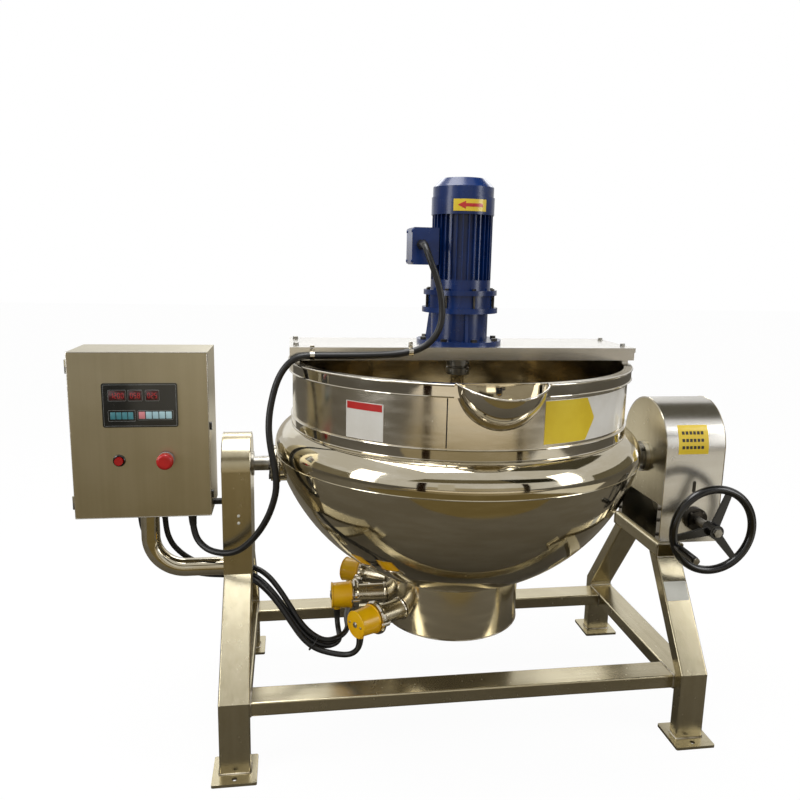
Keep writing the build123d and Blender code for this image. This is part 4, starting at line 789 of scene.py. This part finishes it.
def on_arch(x0, x1, z0, z1, thick=0.0005, n=14):
    """Plate on the tower's round front: y = -sqrt(r^2 - (z - 0.803)^2) above the arch's middle."""
    z = np.linspace(z0, z1, n)
    lift = lambda r: -np.sqrt(r ** 2 - np.clip(z - 0.803, 0, None) ** 2)
    y0, y1 = lift(0.1396), lift(0.140 + thick)
    corners = ((x0, y0), (x1, y0), (x1, y1), (x0, y1))
    loops = np.stack([np.stack([np.full(n, x), y, z], -1) for x, y in corners], 1)
    return rings(loops[:, ::-1])


give(piece("tower_notice", "frame", [on_arch(0.645, 0.740, 0.796, 0.880)]), "label_yellow")
rows = [on_arch(0.656 + 0.012 * c, 0.6645 + 0.012 * c, z, z + 0.009, 0.0008, 3)
        for z in (0.812, 0.833, 0.854) for c in range(6)]
give(piece("tower_notice_marks", "frame", rows), "ink")
# A flat dark plate in the ink finish on the tower's front is painted shade that stands for a slot; nothing is
# cut there.
painted_slot_shade = plate(rounded(0.011, 0.036, 0.0054), (0.705, -0.140, 0.695), (1, 0, 0), (0, 0, 1), 0.0006)
give(piece("tower_painted_slot_shade", "frame", [painted_slot_shade]), "ink")

slope = unit((0, 0.203, 0.283))
face = np.array([0, -slope[2], slope[1]])
leg_middle = np.array([0.640, -0.325, 0.198]) + slope * 0.230 + face * 0.020
give(piece("rating_plate", "frame",
           [plate(rounded(0.070, 0.056, 0.003), leg_middle, (1, 0, 0), slope, 0.0008)]
           + [hexagon(leg_middle + np.array([sx * 0.030, 0, 0]) + slope * sy * 0.023 + face * 0.0008,
                      face, 0.004, 0.0012, washer=False) for sx in (-1, 1) for sy in (-1, 1)]), "bare_plate")
print("plates: pieces so far", len(made))

# %% [markdown]
# ## Control box
# The controller is a dark membrane panel with three displays and two groups of keys, set in the
# door. Below it are a lit push button in a dark bezel and a mushroom stop. The door's edge is
# folded, which shows as a bright line round the front.

# %% Panel, keys and bezels
panel_x, panel_z, front = -0.976, 1.014, -0.130


def on_panel(x0, x1, z0, z1, rise=0.0008, corner=0.0012, lift=0.0):
    """Rounded plate on the panel; x from its left and z down from its top, in millimetres."""
    w, h = (x1 - x0) / 1000, (z1 - z0) / 1000
    middle = (panel_x + (x0 + x1) / 2000, front - lift, panel_z - (z0 + z1) / 2000)
    return plate(rounded(w, h, corner), middle, (1, 0, 0), (0, 0, 1), rise, 0.0003)


def outline_on_panel(x0, x1, z0, z1):
    """Thin raised line round a group."""
    middle = (panel_x + (x0 + x1) / 2000, front - 0.0002, panel_z - (z0 + z1) / 2000)
    return tube(rectangle_path(middle, (1, 0, 0), (0, 0, 1), (x1 - x0) / 1000, (z1 - z0) / 1000, 0.002),
                0.0004, 6, True)


windows = ((18, 60), (68, 101), (112, 144))
give(piece("panel_displays", "door", [on_panel(a, b, 20, 45) for a, b in windows]), "display")
give(piece("panel_lines", "door",
           [outline_on_panel(a - 1.5, b + 1.5, 18, 47) for a, b in windows]
           + [outline_on_panel(15, 83, 72, 101), outline_on_panel(89, 180, 73, 98),
              outline_on_panel(4, 188, 4, 114)]), "grey_plastic")

SEGMENTS = {"0": "abcdef", "1": "bc", "2": "abged", "5": "afgcd", "8": "abcdefg", "6": "afgedc"}
BARS = dict(a=(0, 1, 1, 0), b=(1, 0.5, 0, 1), c=(1, -0.5, 0, 1), d=(0, -1, 1, 0), e=(-1, -0.5, 0, 1),
            f=(-1, 0.5, 0, 1), g=(0, 0, 1, 0))
digits = []
for (x0, x1), text in zip(windows, ("1200", "058", "025")):
    pitch_x = (x1 - x0 - 6) / len(text)
    for k, character in enumerate(text):
        mid = x0 + 3 + pitch_x * (k + 0.5)
        for bar in SEGMENTS[character]:
            bx, bz, flat_, tall = BARS[bar]
            cx, cz = mid + bx * 2.6, 32.5 - bz * 6.5
            hw, hz = (2.1, 0.6) if flat_ else (0.6, 2.8)
            digits.append(on_panel(cx - hw, cx + hw, cz - hz, cz + hz, 0.0004, 0.0003, 0.0006))
give(piece("panel_digits", "door", digits), "lit")
give(piece("panel_keys_teal", "door",
           [on_panel(20 + 15 * k, 33 + 15 * k, 77, 96) for k in range(4)]), "teal_key")
give(piece("panel_key_pink", "door", [on_panel(92, 108, 76, 95)]), "pink_key")
give(piece("panel_keys_pale", "door",
           [on_panel(110 + 17 * k, 125 + 17 * k, 76, 95) for k in range(4)]), "pale_key")

ring = [(0.0122, 0.0), (0.0122, 0.0042), (0.0136, 0.0056), (0.0158, 0.0040), (0.0165, 0.0), (0.0165, -0.0006),
        (0.0122, -0.0006)]
give(piece("button_bezel", "door",
           [lathe(ring, (-0.940, -0.125, 0.805), (0, -1, 0), 48, True)]), "black_gloss")
ring = [(0.0118, 0.0), (0.0118, 0.0024), (0.0205, 0.0018), (0.0222, 0.0), (0.0222, -0.0006), (0.0118, -0.0006)]
give(piece("stop_collar", "door",
           [lathe(ring, (-0.820, -0.125, 0.805), (0, -1, 0), 48, True)]), "grey_plastic")
give(piece("door_edge", "door",
           [tube(rectangle_path((-0.8825, -0.1242, 0.870), (1, 0, 0), (0, 0, 1), 0.3535, 0.4485, 0.002, 0.004),
                 0.0014, 8, True)]), "satin")
print("control box trim: pieces so far", len(made))

# %% [markdown]
# ## Frame: welds, screws and the tower's bolts
# The tubes are welded all round where they meet, each bead a row of overlapping scales. The tower's
# curved sheet has a ground seam at both edges, and the worm's front bearing is held by four bolts.

# %% Welds and bolts on the frame
beads = []
for sx in (-1, 1):
    for sy in (-1, 1):
        beads.append(rectangle_path((sx * 0.640, sy * 0.325, 0.0085), X, Y, 0.082, 0.042, 0.006))
        beads.append(rectangle_path((sx * 0.640, sy * 0.3045, 0.163), X, Z, 0.0805, 0.0405, 0.0055))
        beads.append(rectangle_path((sx * 0.5995, sy * 0.265, 0.163), Y, Z, 0.0805, 0.0405, 0.0055))
beads += [np.array([0.600, 0, 0]) + rectangle_path((0.040, sy * 0.150, 0.501), X, Z, 0.0805, 0.0405, 0.0055)
          for sy in (-1, 1)]
give(piece("frame_welds", "frame",
           [tube(b, 0.0024, 8, True, 0.16, len(b) // 3) for b in beads]), "weld")

a = np.radians(np.linspace(0, 180, 73))
arch_line = lambda x, r: np.vstack([
    [(x, -r, z) for z in np.linspace(0.523, 0.80, 24)],
    np.stack([np.full(73, x), -r * np.cos(a), 0.803 + r * np.sin(a)], -1)[1:-1],
    [(x, r, z) for z in np.linspace(0.80, 0.523, 24)]])
give(piece("tower_seams", "frame",
           [tube(arch_line(x, 0.1398), 0.0013, 8) for x in (0.6078, 0.7942)]), "mirror_low")
head = np.stack([np.full(73, 0.0), -0.0918 * np.cos(a), 0.756 + 0.0918 * np.sin(a)], -1)
give(piece("left_head_seams", "frame",
           [tube(head + np.array([x, 0, 0]), 0.0012, 8) for x in (-0.6792, -0.6008)]), "mirror_low")

bolts = [hexagon((0.716 + 0.027 * math.cos(t), -0.152, 0.596 + 0.027 * math.sin(t)), (0, -1, 0), 0.010, 0.006)
         for t in np.radians([45, 135, 225, 315])]
bolts += [hexagon((0.716 + 0.027 * math.cos(t), 0.152, 0.596 + 0.027 * math.sin(t)), (0, 1, 0), 0.010, 0.006)
          for t in np.radians([45, 135, 225, 315])]
bolts += [hexagon((0.6035 - 0.0085, 0.040 * math.cos(t), 0.756 + 0.040 * math.sin(t)), (-1, 0, 0), 0.011, 0.007)
          for t in np.radians([45, 135, 225, 315])]
bolts += [hexagon((0.607, y, z), (-1, 0, 0), 0.009, 0.005)
          for y in (-0.128, 0.128) for z in (0.545, 0.590, 0.625)]
give(piece("frame_bolts", "frame", bolts), "dark_steel")
heads = [lathe([(0.0042, -0.0004), (0.0042, 0.0008), (0.0033, 0.0022), (0.0012, 0.0027)], (-0.635, -0.0920, z),
               (0, -1, 0), 24) for z in (0.629, 0.608)]
give(piece("left_head_screws", "frame", heads), "bare_plate")
print("frame welds and bolts: pieces so far", len(made))

# %% [markdown]
# ## Bridge, stirrer coupling and heaters
# Two saddle clips hold the motor's cable in the groove. Under the bridge a split collar joins the
# reducer's shaft to the stirrer. Each heater's cap has a rolled lip at its clamp, a domed end
# screw and two cover screws, and a tie holds the three cables together where they turn upwards.

# %% Clips, collar, cap trims and tie
clips, screws = [], []
for x in (-0.430, -0.163):
    band = [(0.0092, -0.006), (0.0092, 0.006), (0.0112, 0.006), (0.0112, -0.006)]
    cy, cz = (-0.1395, 1.0885) if x < -0.3 else (-0.1395, 1.0985)
    clips.append(lathe(band[::-1], (x, cy, cz), X, 32, True))
    clips.append(plate(rounded(0.012, 0.017, 0.002), (x, -0.1300, cz + 0.0185), X, Z, 0.0018))
    screws.append(hexagon((x, -0.1318, cz + 0.019), (0, -1, 0), 0.005, 0.002, washer=False))
give(piece("cable_clips", "kettle", clips), "mirror")
for x in (-0.4725, 0.4725):
    for y in (-0.080, 0.080):
        screws.append(hexagon((x, y, 1.110), Z, 0.013, 0.007))
give(piece("bridge_bolts", "kettle", screws), "machined")

collar = [(0.0198, 1.018), (0.0320, 1.018), (0.0335, 1.0195), (0.0335, 1.038), (0.0300, 1.040), (0.0300, 1.043),
          (0.0335, 1.045), (0.0335, 1.0625), (0.0320, 1.064), (0.0198, 1.064)]
parts = [lathe(collar[::-1], (0, 0, 0), Z, 64, True)]
for z in (1.0285, 1.054):
    for t in np.radians([40, 130, 220, 310]):
        parts.append(hexagon((0.0333 * math.cos(t), 0.0333 * math.sin(t), z),
                             (math.cos(t), math.sin(t), 0), 0.008, 0.004, washer=False))
give(piece("shaft_collar", "stirrer", parts), "machined")

trims, studs, clamps = [], [], []
turn = np.arange(90) * TAU / 90
for angle in (212, 180, 148):
    out = np.array([math.cos(math.radians(angle)), math.sin(math.radians(angle)), 0])
    foot = np.array([0, 0, 0.335])
    trims.append(lathe(bead_profile(0.0402, 0.310, 0.0021, 10), foot, out, 64, True))
    trims.append(lathe(bead_profile(0.0372, 0.3672, 0.0022, 10), foot, out, 64, True))
    dome = [(0.0085, -0.0005), (0.0085, 0.0018), (0.0070, 0.0034), (0.0035, 0.0042), (0.0008, 0.0044)]
    studs.append(lathe(dome, foot + out * 0.369, out, 32))
    ring = [(0.0375, -0.0085), (0.0375, 0.0085), (0.0440, 0.0075), (0.0478, 0.0030), (0.0478, -0.0030),
            (0.0440, -0.0075)]
    clamps.append(lathe(ring, foot + out * 0.297, out, 64, True))
    root = (np.cos(turn)[:, None] * np.array([-out[1], out[0], 0]) + np.sin(turn)[:, None] * np.array(Z))
    clamps.append(tube(foot + out * 0.2075 + 0.0312 * root, 0.0026, 8, True, 0.15, 30))
    for side in (-1, 1):
        across = np.array([-out[1], out[0], 0]) * side * 0.025
        studs.append(hexagon(foot + out * 0.369 + across, out, 0.006, 0.0025, washer=False))
give(piece("cap_lips", "kettle", trims), "yellow")
give(piece("heater_clamps", "kettle", clamps), "mirror")
give(piece("cap_screws", "kettle", studs), "machined")

tie_at, tie_way = np.array([-0.426, -0.1225, 0.2485]), unit((-0.36, 0.1, 0.25))
e1, e2, _ = basis(tie_way)
t = np.arange(64) * TAU / 64
tie_path = tie_at + 0.0262 * np.cos(t)[:, None] * e1 + 0.0225 * np.sin(t)[:, None] * e2
tie = piece("cable_tie", None, [tube(tie_path, 0.0022, 8, True)])
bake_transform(tie)
give(tie, "black_matt")
print("clips, collar and heater trim: pieces so far", len(made))

# %% [markdown]
# ## Piece count
# The number of added pieces and of their faces is printed.

# %% Sizes and finish
print("pieces made", len(made), "with", sum(n for _, n in made), "faces")
